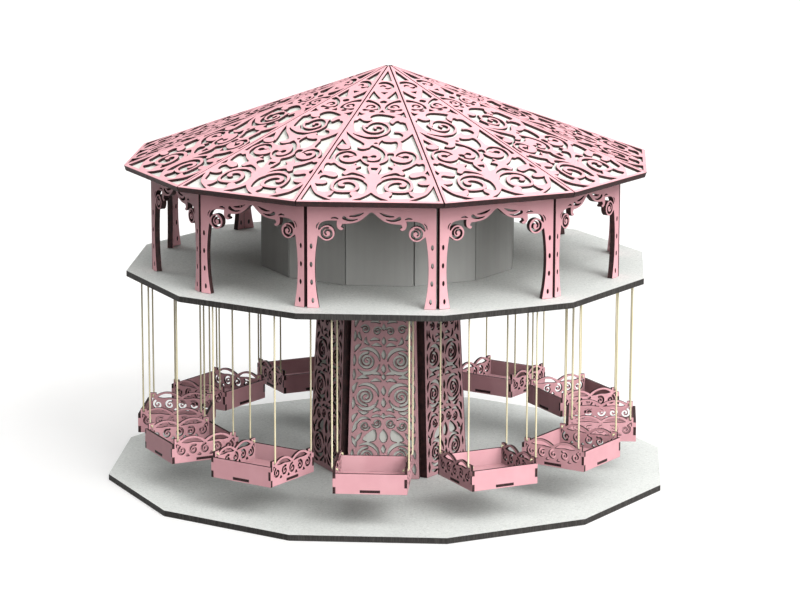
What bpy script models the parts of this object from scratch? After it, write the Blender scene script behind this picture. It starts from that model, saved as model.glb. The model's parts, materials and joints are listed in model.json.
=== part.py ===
"""Model swing carousel of laser-cut board: a twelve-sided base, a six-sided column, a deck with
a pierced arcade and a plain drum, a pyramid roof, and twelve baskets hung on twine.

Metres, +Z up. The origin is the middle of the base's underside, and one side of the base faces -Y.
"""
import math

import bmesh
import bpy

MM = 0.001

# Boards
SIDES = 12
THICK_BOARD = 6.0 * MM
THIN_BOARD = 3.0 * MM
JOINT_GAP = 0.3 * MM

# Base, deck and column
BASE_RADIUS = 300.0 * MM
DECK_RADIUS = 278.0 * MM
COLUMN_HEIGHT = 212.0 * MM
COLUMN_SIDES = 6
COLUMN_REACH_BOTTOM = 75.0 * MM
COLUMN_REACH_TOP = 66.2 * MM
COLUMN_RIM = 3.2 * MM

# Roof
ROOF_RADIUS = 279.0 * MM
ROOF_EAVE_ABOVE_DECK = 111.0 * MM
ROOF_RISE = 98.8 * MM
ROOF_VOLUTE_CENTRE = (24.6, 35.7)
ROOF_VOLUTE_RADIUS = 16.6
ROOF_VOLUTE_GAP = 13.0
ROOF_VOLUTE_CURL = (23.6, 33.4)
ROOF_CURL_RADIUS = 10.4
ROOF_DISC_CENTRE = (28.4, 88.6)
ROOF_DISC_RADIUS = 8.6
ROOF_DISC_GAP = 11.8

# Arcade and drum on the deck
ARCADE_RADIUS = 251.3 * MM
DRUM_RADIUS = 136.0 * MM
DRUM_GLUE_LINE = 0.6 * MM

# Arcade opening, measured from the middle of a panel's foot
ARCH_FOOT = (51.5 * MM, 0.0)
ARCH_NECK = (52.8 * MM, 72.0 * MM)
ARCH_LEG_BOW = 3.5 * MM
VOLUTE_CENTRE = (43.9 * MM, 74.8 * MM)
VOLUTE_RADIUS = 7.7 * MM
ARCH_APEX = (0.0, 95.6 * MM)

# Baskets and their twine
BASKET_REACH = 264.0 * MM
BASKET_SIDE = 74.0 * MM
BASKET_ABOVE_BASE = 35.5 * MM
BASKET_WALL_HEIGHT = 20.5 * MM
BASKET_FLOOR_RAISE = 1.2 * MM
END_VALLEY_HEIGHT = 22.0 * MM
END_ARCH_PEAK = 27.2 * MM
EAR_HEIGHT = 26.0 * MM
EAR_WIDTH = 6.5 * MM
EAR_HOLE_BELOW_TOP = 2.6 * MM
TWINE_RADIUS = 1.1 * MM
TWINE_SIDES = 6
TWINE_KNOT = 0.4 * MM

# Levels and angles worked out from the sizes above
DECK_BOTTOM = THICK_BOARD + COLUMN_HEIGHT
DECK_TOP = DECK_BOTTOM + THICK_BOARD
ROOF_EAVE = DECK_TOP + ROOF_EAVE_ABOVE_DECK
ROOF_REACH = ROOF_RADIUS * math.cos(math.pi / SIDES)
ROOF_SLOPE = math.atan2(ROOF_RISE, ROOF_REACH)
ROOF_DEPTH = 2.0 * THIN_BOARD
BASKET_BOTTOM = THICK_BOARD + BASKET_ABOVE_BASE
SIDE_ANGLE = 2.0 * math.pi / SIDES
HALF_SIDE = math.tan(SIDE_ANGLE / 2.0)

# Finishes: name, colour and roughness
PALE_BOARD = ("pale_board", (0.62, 0.61, 0.58), 0.75)
PINK_BOARD = ("pink_board", (0.88, 0.46, 0.50), 0.65)
CREAM_BOARD = ("cream_board", (0.84, 0.81, 0.76), 0.70)
GREY_BOARD = ("grey_board", (0.46, 0.46, 0.44), 0.70)


def clear_scene():
    for item in list(bpy.data.objects):
        bpy.data.objects.remove(item, do_unlink=True)


def finish_material(finish):
    name, colour, roughness = finish
    material = bpy.data.materials.get(name)
    if material is None:
        material = bpy.data.materials.new(name)
    material.use_nodes = True
    shader = material.node_tree.nodes["Principled BSDF"]
    shader.inputs["Base Color"].default_value = (*colour, 1.0)
    shader.inputs["Roughness"].default_value = roughness
    shader.inputs["Metallic"].default_value = 0.0
    material.diffuse_color = (*colour, 1.0)
    return material


def mesh_from(bm, name, finish):
    bmesh.ops.recalc_face_normals(bm, faces=bm.faces)
    mesh = bpy.data.meshes.new(name)
    bm.to_mesh(mesh)
    bm.free()
    mesh.materials.append(finish_material(finish))
    return mesh


def add_object(name, mesh, turn=0.0):
    item = bpy.data.objects.new(name, mesh)
    bpy.context.collection.objects.link(item)
    item.rotation_euler = (0.0, 0.0, turn)
    return item


def add_ring(name, mesh, count):
    """One copy of the mesh for each side, turned about the middle."""
    for index in range(count):
        add_object(f"{name}_{index + 1:02d}", mesh, index * 2.0 * math.pi / count)


# Outlines

def regular_outline(sides, radius):
    """Corners of a polygon that has one side facing -Y, anticlockwise."""
    step = 2.0 * math.pi / sides
    angles = [step * (index + 0.5) for index in range(sides)]
    return [(radius * math.sin(angle), -radius * math.cos(angle)) for angle in angles]


def arc(centre, radius, start, end, steps):
    """Points on an arc, both ends included. Angles in degrees, from the u axis."""
    points = []
    for index in range(steps + 1):
        angle = math.radians(start + (end - start) * index / steps)
        points.append((centre[0] + radius * math.cos(angle), centre[1] + radius * math.sin(angle)))
    return points


def bow(start, end, height, steps):
    """Points between start and end on a shallow curve, its middle raised to the left."""
    du = end[0] - start[0]
    dv = end[1] - start[1]
    length = math.hypot(du, dv)
    points = []
    for index in range(1, steps):
        t = index / steps
        rise = height * 4.0 * t * (1.0 - t) / length
        points.append((start[0] + du * t - dv * rise, start[1] + dv * t + du * rise))
    return points


def shrink(outline, border):
    """The same convex outline moved in by border. Its corners run anticlockwise."""
    lines = []
    for index, (u0, v0) in enumerate(outline):
        u1, v1 = outline[(index + 1) % len(outline)]
        length = math.hypot(u1 - u0, v1 - v0)
        across = ((v0 - v1) / length, (u1 - u0) / length)
        lines.append((across, across[0] * u0 + across[1] * v0 + border))
    inner = []
    for index, ((a, b), c) in enumerate(lines):
        (d, e), f = lines[index - 1]
        det = a * e - b * d
        inner.append(((c * e - b * f) / det, (a * f - c * d) / det))
    return inner


# Solids made from outlines

def extrude_outline(bm, outline, place, near, far):
    """Add a solid with this outline. place(u, v, depth) gives a point of it in space."""
    near_ring = [bm.verts.new(place(u, v, near)) for u, v in outline]
    far_ring = [bm.verts.new(place(u, v, far)) for u, v in outline]
    bm.faces.new(near_ring)
    bm.faces.new(list(reversed(far_ring)))
    bridge_rings(bm, near_ring, far_ring)


def bridge_rings(bm, ring, other):
    for index in range(len(ring)):
        after = (index + 1) % len(ring)
        bm.faces.new((ring[index], ring[after], other[after], other[index]))


def add_rimmed_board(bm, outline, place, backing, overlay, rim):
    """A backing board with the plain rim of its fretwork sheet standing on it.

    Depth 0 is the back, and the field inside the rim is the backing's face.
    """
    inner = shrink(outline, rim)
    front = backing + overlay
    back_ring = [bm.verts.new(place(u, v, 0.0)) for u, v in outline]
    front_ring = [bm.verts.new(place(u, v, front)) for u, v in outline]
    rim_ring = [bm.verts.new(place(u, v, front)) for u, v in inner]
    field_ring = [bm.verts.new(place(u, v, backing)) for u, v in inner]
    bm.faces.new(list(reversed(back_ring)))
    bm.faces.new(field_ring)
    bridge_rings(bm, back_ring, front_ring)
    bridge_rings(bm, front_ring, rim_ring)
    bridge_rings(bm, rim_ring, field_ring)


def outline_block(outline, place, near, far, name, finish):
    """An object with this outline."""
    bm = bmesh.new()
    extrude_outline(bm, outline, place, near, far)
    return add_object(name, mesh_from(bm, name, finish))


def combine(block, tools, operation):
    """The mesh of a block with all the tools joined on or cut away. Only the mesh is left."""
    for tool in tools:
        step = block.modifiers.new(tool.name, "BOOLEAN")
        step.operation = operation
        step.solver = "EXACT"
        step.object = tool
    graph = bpy.context.evaluated_depsgraph_get()
    mesh = bpy.data.meshes.new_from_object(block.evaluated_get(graph))
    for item in [block] + tools:
        bpy.data.objects.remove(item, do_unlink=True)
    return mesh


# Sub-parts

def add_plate(name, radius, bottom):
    """A flat twelve-sided board."""
    bm = bmesh.new()
    outline = regular_outline(SIDES, radius)
    extrude_outline(bm, outline, lambda u, v, z: (u, v, z), bottom, bottom + THICK_BOARD)
    add_object(name, mesh_from(bm, name, PALE_BOARD))


def add_column():
    """Six tapered boards, each a thick backing with a thin fretwork sheet on its face."""
    depth = THICK_BOARD + THIN_BOARD
    half_angle = math.pi / COLUMN_SIDES
    corner_gap = JOINT_GAP / (2.0 * math.cos(half_angle))
    back_bottom = COLUMN_REACH_BOTTOM - depth
    back_top = COLUMN_REACH_TOP - depth
    half_bottom = back_bottom * math.tan(half_angle) - corner_gap
    half_top = back_top * math.tan(half_angle) - corner_gap
    foot = THICK_BOARD + JOINT_GAP
    height = COLUMN_HEIGHT - 2.0 * JOINT_GAP
    outline = [(-half_bottom, 0.0), (half_bottom, 0.0), (half_top, height), (-half_top, height)]

    def place(u, v, z):
        lean = (back_bottom - back_top) * v / height
        return (u, lean - back_bottom - z, foot + v)

    bm = bmesh.new()
    add_rimmed_board(bm, outline, place, THICK_BOARD, THIN_BOARD, COLUMN_RIM)
    add_ring("column_panel", mesh_from(bm, "column_panel", PINK_BOARD), COLUMN_SIDES)


def arch_edge():
    """Right edge of the arcade's opening, from the foot up to the apex."""
    leg = [ARCH_FOOT] + bow(ARCH_FOOT, ARCH_NECK, -ARCH_LEG_BOW, 6) + [ARCH_NECK]
    volute = arc(VOLUTE_CENTRE, VOLUTE_RADIUS, -24.0, -315.0, 14)
    spandrel = [(51.9, 77.6), (52.2, 80.6), (50.2, 84.2), (46.4, 86.4), (41.0, 87.2), (33.4, 87.2)]
    hook = [(34.4, 83.4), (33.2, 79.6), (29.8, 77.8), (27.6, 79.6), (30.0, 81.2), (28.8, 83.8)]
    ogee = [(23.0, 84.3), (17.0, 85.2), (11.0, 87.6), (6.0, 91.4), (2.2, 94.6)]
    return leg + volute + [(u * MM, v * MM) for u, v in spandrel + hook + ogee]


def add_arcade():
    """Twelve boards with an ogee arch, standing on the deck under the roof."""
    face = ARCADE_RADIUS * math.cos(SIDE_ANGLE / 2.0)
    half_width = (face - THICK_BOARD) * HALF_SIDE - JOINT_GAP / 2.0
    roof_above_face = ROOF_EAVE + (ROOF_REACH - face) * math.tan(ROOF_SLOPE)
    height = roof_above_face - ROOF_DEPTH / math.cos(ROOF_SLOPE) - DECK_TOP - 2.0 * JOINT_GAP
    right = arch_edge()
    left = [(-u, v) for u, v in right]
    outline = [(half_width, 0.0), (half_width, height), (-half_width, height), (-half_width, 0.0)]
    outline += left + [ARCH_APEX] + list(reversed(right))

    def place(u, v, depth):
        return (u, depth - face, DECK_TOP + JOINT_GAP + v)

    bm = bmesh.new()
    extrude_outline(bm, outline, place, 0.0, THICK_BOARD)
    add_ring("arcade_panel", mesh_from(bm, "arcade_panel", PINK_BOARD), SIDES)


def add_drum():
    """Twelve plain walls, glued along their inner corners and open at both ends."""
    face = DRUM_RADIUS * math.cos(SIDE_ANGLE / 2.0)
    half_width = (face - THIN_BOARD) * HALF_SIDE
    roof_above_face = ROOF_EAVE + (ROOF_REACH - face) * math.tan(ROOF_SLOPE)
    top = roof_above_face - ROOF_DEPTH / math.cos(ROOF_SLOPE) - JOINT_GAP
    bottom = DECK_TOP + JOINT_GAP
    glue_radius = half_width / math.sin(SIDE_ANGLE / 2.0)
    inside = regular_outline(SIDES, glue_radius - DRUM_GLUE_LINE)
    outside = []
    for index in range(SIDES):
        turn = index * SIDE_ANGLE
        for u, reach in ((-half_width, face), (half_width, face)):
            across = (math.cos(turn), math.sin(turn))
            outward = (math.sin(turn), -math.cos(turn))
            outside.append((u * across[0] + reach * outward[0], u * across[1] + reach * outward[1]))
        corner = turn + SIDE_ANGLE / 2.0
        outside.append((glue_radius * math.sin(corner), -glue_radius * math.cos(corner)))
    bm = bmesh.new()
    rings = []
    for level in (bottom, top):
        outer_ring = [bm.verts.new((u, v, level)) for u, v in outside]
        inner_ring = [bm.verts.new((u, v, level)) for u, v in inside]
        rings.append((outer_ring, inner_ring))
        for index in range(SIDES):
            wall = outer_ring[3 * index:3 * index + 3] + [inner_ring[index], inner_ring[index - 1]]
            bm.faces.new([outer_ring[3 * index - 1]] + wall)
    bridge_rings(bm, rings[0][0], rings[1][0])
    bridge_rings(bm, rings[0][1], rings[1][1])
    add_object("drum", mesh_from(bm, "drum", GREY_BOARD))


def paired_roof_openings():
    """Main openings of the roof's scrollwork that have a mirror image, in millimetres."""
    corner = [(59.2, 30.0), (53.0, 15.0), (40.0, 4.6), (67.0, 4.6)]
    round_volute = [(8.0, 45.6), (12.0, 53.0), (22.0, 57.4), (27.0, 53.8), (34.5, 53.2), (37.0, 49.4)]
    round_volute += [(50.4, 51.6), (51.6, 43.4), (44.2, 40.0), (46.0, 36.0), (55.6, 35.6)]
    round_volute += [(52.2, 21.8), (42.0, 20.6)]
    round_volute += arc(ROOF_VOLUTE_CENTRE, ROOF_VOLUTE_RADIUS, -38.0, 112.0, 5)
    under_volute = arc(ROOF_VOLUTE_CENTRE, ROOF_VOLUTE_RADIUS, 255.0, 300.0, 2)
    under_volute += [(37.6, 15.0), (41.8, 10.6), (19.6, 8.4), (20.0, 14.0)]
    volute_gap = [(10.0, 17.0), (5.0, 24.0), (6.0, 37.0)]
    volute_gap += arc(ROOF_VOLUTE_CENTRE, ROOF_VOLUTE_GAP, 125.0, -28.0, 5)
    volute_gap += arc(ROOF_VOLUTE_CURL, ROOF_CURL_RADIUS, 0.0, 180.0, 4) + [(12.8, 23.0)]
    volute_heart = [(18.0, 30.0), (20.0, 36.4), (26.3, 39.2), (29.4, 37.0), (26.4, 33.0)]
    volute_heart += [(32.0, 30.6), (32.8, 27.6), (27.0, 24.4), (20.6, 25.6)]
    leaf = [(28.0, 63.0), (40.8, 77.0), (48.0, 76.0), (49.2, 61.6), (40.0, 59.5), (35.0, 54.6), (31.0, 56.0)]
    flank = [(4.6, 56.0), (7.0, 68.0), (5.0, 75.4), (11.2, 79.6), (15.4, 83.4), (18.0, 81.6)]
    flank += [(19.0, 73.0), (13.4, 70.2), (17.6, 66.0), (9.0, 56.0)]
    round_disc = [(24.2, 71.4), (33.0, 75.6)]
    round_disc += arc(ROOF_DISC_CENTRE, ROOF_DISC_GAP, -35.0, 150.0, 5)
    round_disc += arc(ROOF_DISC_CENTRE, ROOF_DISC_RADIUS, 160.0, -45.0, 4) + [(22.4, 79.6)]
    dart = [(52.4, 62.2), (50.7, 56.8), (54.8, 53.4)]
    horn = [(17.6, 204.0), (14.6, 207.2), (4.9, 199.0), (3.0, 188.0), (7.4, 198.0)]
    return [corner, round_volute, under_volute, volute_gap, volute_heart, leaf, flank, round_disc,
            dart, horn]


def single_roof_openings():
    """Main openings on the roof's middle line, and those of its lopsided upper half."""
    tent = [(0.0, 18.4), (6.6, 11.2), (17.0, 4.6), (-17.0, 4.6), (-6.6, 11.2)]
    slot = [(-3.5, 67.4), (3.5, 67.4), (1.5, 61.6), (-1.5, 61.6)]
    right_rim = [(33.0, 135.6), (46.0, 84.8), (43.4, 84.8), (38.8, 98.4), (26.0, 105.0), (23.0, 120.6)]
    pocket = [(4.4, 121.6), (18.0, 121.0), (20.0, 110.9), (17.2, 102.6), (11.0, 100.6), (2.0, 112.6)]
    left_sweep = [(-32.6, 139.0), (-14.0, 116.0), (-20.0, 109.0), (-14.0, 105.4), (-5.0, 112.6)]
    left_sweep += [(4.4, 104.2), (8.4, 92.0), (6.0, 82.6), (-2.0, 78.0), (-10.0, 80.8), (-13.0, 89.0)]
    left_sweep += [(-8.6, 88.6), (-5.0, 81.6), (3.4, 84.6), (4.4, 95.6), (-2.2, 105.0)]
    left_sweep += [(-16.0, 100.8), (-25.2, 105.2), (-28.5, 121.4)]
    left_rim = [(-35.8, 123.0), (-31.0, 113.4), (-38.0, 112.6), (-39.6, 107.0), (-29.0, 105.0)]
    left_rim += [(-36.2, 100.8), (-41.0, 95.4), (-43.0, 85.0), (-46.0, 85.0), (-41.0, 107.0)]
    brow = [(-25.0, 136.0), (-12.0, 130.2), (0.0, 131.0), (10.0, 142.0), (11.0, 150.0), (8.8, 160.6)]
    brow += [(13.0, 159.6), (16.0, 163.4), (25.4, 157.0), (28.0, 145.4), (17.0, 143.6), (16.0, 139.8)]
    brow += [(24.0, 133.0), (20.0, 129.0), (10.4, 133.0), (-5.0, 124.6)]
    volute = [(-11.8, 153.0), (-3.0, 160.2), (6.0, 155.0), (8.0, 146.0), (3.0, 136.6), (-9.0, 135.0)]
    volute += [(-18.4, 145.0), (-21.0, 141.2), (-24.6, 142.6), (-26.6, 162.0), (-22.0, 167.4)]
    volute += [(-10.0, 163.8), (-17.0, 151.0), (-15.8, 147.0), (-8.0, 139.2), (1.6, 141.0)]
    volute += [(4.2, 149.0), (-1.0, 154.4), (-6.0, 152.6), (-5.0, 149.6), (0.4, 148.6)]
    volute += [(-2.0, 143.0), (-9.0, 143.4), (-12.6, 149.6)]
    crown = [(-11.0, 170.4), (-5.9, 177.0), (7.6, 175.4), (13.6, 171.6), (8.4, 163.0), (-7.0, 163.4)]
    left_dart = [(-23.2, 181.0), (-17.2, 177.6), (-24.2, 173.2)]
    right_dart = [(21.8, 181.6), (15.0, 176.9), (24.6, 171.2)]
    oval = arc((0.0, 203.3), 3.6, 0.0, 270.0, 3)
    left_tip = [(-11.5, 226.2), (-15.2, 211.2), (-9.6, 208.8), (-3.6, 211.4)]
    right_tip = [(10.8, 226.0), (3.2, 211.8), (9.4, 208.8), (14.4, 211.4)]
    tip = [(0.0, 269.0), (-5.2, 250.8), (5.0, 249.0)]
    return [tent, slot, right_rim, pocket, left_sweep, left_rim, brow, volute, crown, left_dart,
            right_dart, oval, left_tip, right_tip, tip]


def add_roof():
    """Twelve triangles, each a thin backing with a fretwork sheet on top, meeting at the apex."""
    cosine = math.cos(ROOF_SLOPE)
    sine = math.sin(ROOF_SLOPE)
    back_reach = ROOF_REACH - ROOF_DEPTH * sine
    ridge_gap = JOINT_GAP / (2.0 * math.cos(SIDE_ANGLE / 2.0))
    half_width = back_reach * HALF_SIDE - ridge_gap
    length = half_width / HALF_SIDE / cosine
    outline = [(-half_width, 0.0), (half_width, 0.0), (0.0, length)]

    def place(u, v, z):
        drop = ROOF_DEPTH - z
        return (u, v * cosine + drop * sine - ROOF_REACH, ROOF_EAVE + v * sine - drop * cosine)

    paired = paired_roof_openings()
    mirrored = [[(-u, v) for u, v in opening] for opening in paired]
    bm = bmesh.new()
    for opening in paired + mirrored + single_roof_openings():
        scaled = [(u * MM, v * MM) for u, v in opening]
        extrude_outline(bm, scaled, place, THIN_BOARD, ROOF_DEPTH + THIN_BOARD)
    cutters = add_object("roof_openings", mesh_from(bm, "roof_openings", CREAM_BOARD))
    panel = outline_block(outline, place, 0.0, ROOF_DEPTH, "roof_panel_block", CREAM_BOARD)
    add_ring("roof_panel", combine(panel, [cutters], "DIFFERENCE"), SIDES)


def end_outline():
    """An end board's outline from the side: two arches between a square ear at each corner."""
    half = BASKET_SIDE / 2.0
    ear_far = half - THIN_BOARD
    ear_near = ear_far - EAR_WIDTH
    valley = (0.0, END_VALLEY_HEIGHT)
    spring = (ear_near, END_VALLEY_HEIGHT + THIN_BOARD / 2.0)
    arch = bow(spring, valley, -(END_ARCH_PEAK - (valley[1] + spring[1]) / 2.0), 9)
    right = [(half, BASKET_WALL_HEIGHT), (ear_far, BASKET_WALL_HEIGHT), (ear_far, EAR_HEIGHT)]
    right += [(ear_near, EAR_HEIGHT), spring] + arch
    left = [(-u, v) for u, v in reversed(right)]
    return [(-half, 0.0), (half, 0.0)] + right + [valley] + left


def round_outline(centre):
    """Outline of the twine around this centre."""
    step = 360.0 / TWINE_SIDES
    return arc(centre, TWINE_RADIUS, step / 2.0, 360.0 - step / 2.0, TWINE_SIDES - 1)


def add_baskets():
    """Twelve open boxes, each hung from the deck on four straight lengths of twine."""
    middle = BASKET_REACH - BASKET_SIDE / 2.0
    half = BASKET_SIDE / 2.0
    inside = half - THIN_BOARD
    floor_top = BASKET_FLOOR_RAISE + THIN_BOARD

    def across(v, z, u):
        return (u, v - middle, BASKET_BOTTOM + z)

    def upright(u, v, z):
        return (u, v - middle, z)

    channel = [(-half, 0.0), (-inside, 0.0), (-inside, BASKET_FLOOR_RAISE)]
    channel += [(inside, BASKET_FLOOR_RAISE), (inside, 0.0), (half, 0.0), (half, BASKET_WALL_HEIGHT)]
    channel += [(inside, BASKET_WALL_HEIGHT), (inside, floor_top), (-inside, floor_top)]
    channel += [(-inside, BASKET_WALL_HEIGHT), (-half, BASKET_WALL_HEIGHT)]
    overlap = inside + THIN_BOARD / 2.0
    box = outline_block(channel, across, -overlap, overlap, "basket_channel", PINK_BOARD)
    ends = end_outline()
    pieces = [outline_block(ends, across, -half, -inside, "basket_end_left", PINK_BOARD)]
    pieces.append(outline_block(ends, across, inside, half, "basket_end_right", PINK_BOARD))
    hole_height = EAR_HEIGHT - EAR_HOLE_BELOW_TOP
    twine_reach = half + TWINE_RADIUS * 0.9
    for side in (-1.0, 1.0):
        for end in (-1.0, 1.0):
            ear = end * (inside - EAR_WIDTH / 2.0)
            drop = round_outline((side * twine_reach, ear))
            drop_from = BASKET_BOTTOM + hole_height
            drop_to = DECK_BOTTOM - JOINT_GAP
            pieces.append(outline_block(drop, upright, drop_from, drop_to, "twine_drop", PINK_BOARD))
            bend = round_outline((ear, hole_height))
            near, far = sorted((side * (inside - TWINE_KNOT), side * twine_reach))
            pieces.append(outline_block(bend, across, near, far, "twine_through_ear", PINK_BOARD))
    add_ring("basket", combine(box, pieces, "UNION"), SIDES)


def main():
    clear_scene()
    add_plate("base_plate", BASE_RADIUS, 0.0)
    add_column()
    add_plate("deck_plate", DECK_RADIUS, DECK_BOTTOM)
    add_drum()
    add_arcade()
    add_roof()
    add_baskets()


main()
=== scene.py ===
# %% [markdown]
# A swing carousel cut from sheet board, dressed for a photograph.
#
# The construction is already solved in CAD: two twelve-sided plates, a six-sided column, an
# arcade, a drum, a pyramid roof and twelve baskets. Here that model is loaded as a fixed frame,
# and each step gives one part the look of the real thing. A plain solid that is right stays and
# gets a better finish. A solid that only stands for scrollwork is replaced by real scrollwork.

import json
import math

import bpy
import numpy as np
from mathutils import Euler, Matrix, Vector
from mathutils.geometry import delaunay_2d_cdt

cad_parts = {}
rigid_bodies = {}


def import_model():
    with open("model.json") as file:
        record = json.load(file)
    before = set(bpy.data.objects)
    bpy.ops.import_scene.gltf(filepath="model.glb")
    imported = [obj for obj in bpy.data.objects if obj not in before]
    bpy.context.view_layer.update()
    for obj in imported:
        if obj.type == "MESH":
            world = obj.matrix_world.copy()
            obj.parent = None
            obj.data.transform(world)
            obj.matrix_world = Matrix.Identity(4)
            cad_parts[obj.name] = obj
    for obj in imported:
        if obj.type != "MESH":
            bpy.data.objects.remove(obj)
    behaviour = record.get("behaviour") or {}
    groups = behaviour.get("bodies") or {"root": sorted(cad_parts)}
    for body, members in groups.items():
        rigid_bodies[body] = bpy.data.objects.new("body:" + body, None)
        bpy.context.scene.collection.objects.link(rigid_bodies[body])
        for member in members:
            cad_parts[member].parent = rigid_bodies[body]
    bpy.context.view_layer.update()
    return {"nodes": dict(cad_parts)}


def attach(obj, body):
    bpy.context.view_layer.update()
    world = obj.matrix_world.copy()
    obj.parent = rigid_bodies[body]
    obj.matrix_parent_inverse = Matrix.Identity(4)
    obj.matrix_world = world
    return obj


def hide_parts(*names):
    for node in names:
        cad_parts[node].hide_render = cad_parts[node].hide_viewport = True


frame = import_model()

# %% [markdown]
# The sizes of the boards come first. They are the ones that the construction uses, so that every
# new piece lands where its plain solid stood. Drawings are in millimetres, and Blender is in
# metres, so each board gets a small function that turns a point of its drawing into a point in
# the room.

# %% Sizes
MM = 0.001
SIDES = 12
SIDE_ANGLE = 2.0 * math.pi / SIDES
HALF_SIDE = math.tan(SIDE_ANGLE / 2.0)
THICK_BOARD = 6.0
THIN_BOARD = 3.0
JOINT_GAP = 0.3
DECK_BOTTOM = 218.0
DECK_TOP = DECK_BOTTOM + THICK_BOARD
ROOF_EAVE = 335.0
ROOF_RISE = 98.8
ROOF_CORNER = 279.0
ROOF_THICK = 2 * THIN_BOARD
ROOF_REACH = ROOF_CORNER * math.cos(SIDE_ANGLE / 2.0)
ROOF_SLOPE = math.atan2(ROOF_RISE, ROOF_REACH)
print("roof slope", round(math.degrees(ROOF_SLOPE), 2), "degrees")

# %% [markdown]
# The camera stands three metres away with a long lens, half a metre above the roof's eave and a
# few degrees round to the right, as for a catalogue picture. It is set from given numbers rather
# than with a tracking constraint, because a constraint can't give it the slight roll that the
# picture has.

# %% Camera
CAMERA_PLACE = (0.2155, -3.1654, 0.8531)
CAMERA_TILT, CAMERA_PAN, CAMERA_ROLL = math.radians(78.054), 0.0641, 0.0027
scene = bpy.context.scene
camera_data = bpy.data.cameras.new("camera")
camera_data.sensor_width = 36.0
camera_data.lens = 137.56
camera_data.clip_end = 50.0
camera = bpy.data.objects.new("camera", camera_data)
camera_turn = Euler((CAMERA_TILT, 0.0, CAMERA_PAN)).to_matrix()
camera_turn = camera_turn @ Matrix.Rotation(CAMERA_ROLL, 3, "Z")
camera.matrix_world = Matrix.Translation(CAMERA_PLACE) @ camera_turn.to_4x4()
scene.collection.objects.link(camera)
scene.camera = camera
print("camera is", round(camera.matrix_world.translation.length, 2), "m from the base")

# %% [markdown]
# The light is a white studio. Soft boxes stand in a ring at mid height, the strongest one in front
# at the right, with a high one over the front and two low ones that reach in under the roof. None
# stands at the left, which leaves the left of every part in shade. The boxes are big and far off,
# and that is what a sun lamp with a wide angle is: light from one way with a soft shadow, just as
# strong on a floor that reaches far back. A trace of surround keeps the shade from going black.

# %% Studio light
studio = bpy.data.worlds.new("studio")
studio.use_nodes = True
studio.node_tree.nodes["Background"].inputs["Color"].default_value = (0.97, 0.99, 1.0, 1.0)
studio.node_tree.nodes["Background"].inputs["Strength"].default_value = 0.03
scene.world = studio
scene.view_settings.view_transform = "Standard"
SOFTNESS = math.radians(34)
# Each is degrees round from the right, degrees up, and strength. The front is at -90.
SOFT_BOXES = ((-60, 15, 1.55), (-105, 15, 0.3), (-90, 42, 0.45), (-45, 42, 2.3), (0, 42, 0.8),
              (45, 42, 0.85), (90, 42, 0.5), (135, 42, 0.75), (-90, 68, 0.9))
for number, (around, up, strength) in enumerate(SOFT_BOXES):
    lamp = bpy.data.lights.new(f"soft_box_{number + 1}", "SUN")
    lamp.angle = SOFTNESS
    lamp.energy = strength
    lamp.color = (1.0, 0.99, 0.975)
    around, up = math.radians(around), math.radians(up)
    towards = Vector((math.cos(around) * math.cos(up), math.sin(around) * math.cos(up),
                      math.sin(up)))
    soft_box = bpy.data.objects.new(lamp.name, lamp)
    soft_box.rotation_euler = towards.to_track_quat("Z", "Y").to_euler()
    scene.collection.objects.link(soft_box)
print("soft boxes:", len(SOFT_BOXES))

# %% [markdown]
# Shader maths reads best as arithmetic. This small class wraps one output of a node. Adding and
# multiplying wrapped outputs, or taking one from a number, adds the Math nodes for it. Every
# other node comes from one method, which sets the node up first and then fills its sockets.

# %% Shader arithmetic
class Shade:
    """One output of a node, with arithmetic."""

    tree = None

    def __init__(self, socket):
        self.socket = socket

    @classmethod
    def node(cls, kind, settings=None, out=0, **inputs):
        """Adds a node. Settings are set first. An input is named by its socket, with _ for a
        space, or by its number, as in i0."""
        made = cls.tree.nodes.new("ShaderNode" + kind)
        for key, value in (settings or {}).items():
            setattr(made, key, value)
        for key, value in inputs.items():
            numbered = key[0] == "i" and key[1:].isdigit()
            cls.feed(made.inputs[int(key[1:]) if numbered else key.replace("_", " ")], value)
        return cls(made.outputs[out])

    @classmethod
    def feed(cls, socket, value):
        if isinstance(value, Shade):
            cls.tree.links.new(value.socket, socket)
        else:
            socket.default_value = value

    def math(self, operation, *others):
        slots = {f"i{index}": value for index, value in enumerate((self,) + others)}
        return Shade.node("Math", {"operation": operation}, **slots)

    def __add__(self, other):
        return self.math("ADD", other)

    def __mul__(self, other):
        return self.math("MULTIPLY", other)

    def __rsub__(self, other):
        return Shade.node("Math", {"operation": "SUBTRACT"}, i0=other, i1=self)

    __radd__, __rmul__ = __add__, __mul__

    def clamp(self, low, high):
        """0 below low, 1 above high, and a smooth step between."""
        return Shade.node("MapRange", {"interpolation_type": "SMOOTHSTEP"}, Value=self,
                          From_Min=low, From_Max=high, To_Min=0.0, To_Max=1.0)


def mix(factor, first, second):
    """A colour between two others. Each is a wrapped output or three numbers."""
    first, second = ((*it, 1.0) if isinstance(it, tuple) else it for it in (first, second))
    return Shade.node("Mix", {"data_type": "RGBA"}, out=2, i0=factor, i6=first, i7=second)


def noise(scale, detail=3.0, stretch=(1.0, 1.0, 1.0), roughness=0.5):
    """Cloudy noise from 0 to 1, with scale in lumps per metre."""
    where = Shade.node("TexCoord", out="Object")
    where = Shade.node("Mapping", Vector=where, Scale=stretch)
    return Shade.node("TexNoise", {"noise_dimensions": "3D"}, out="Fac", Vector=where, Scale=scale,
                      Detail=detail, Roughness=roughness)


def facing_up():
    """1 on a face that looks up or down, 0 on one that looks sideways."""
    direction = Shade.node("NewGeometry", out="Normal")
    upright = Shade.node("SeparateXYZ", out="Z", Vector=direction)
    return upright.math("ABSOLUTE").clamp(0.4, 0.6)


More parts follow.
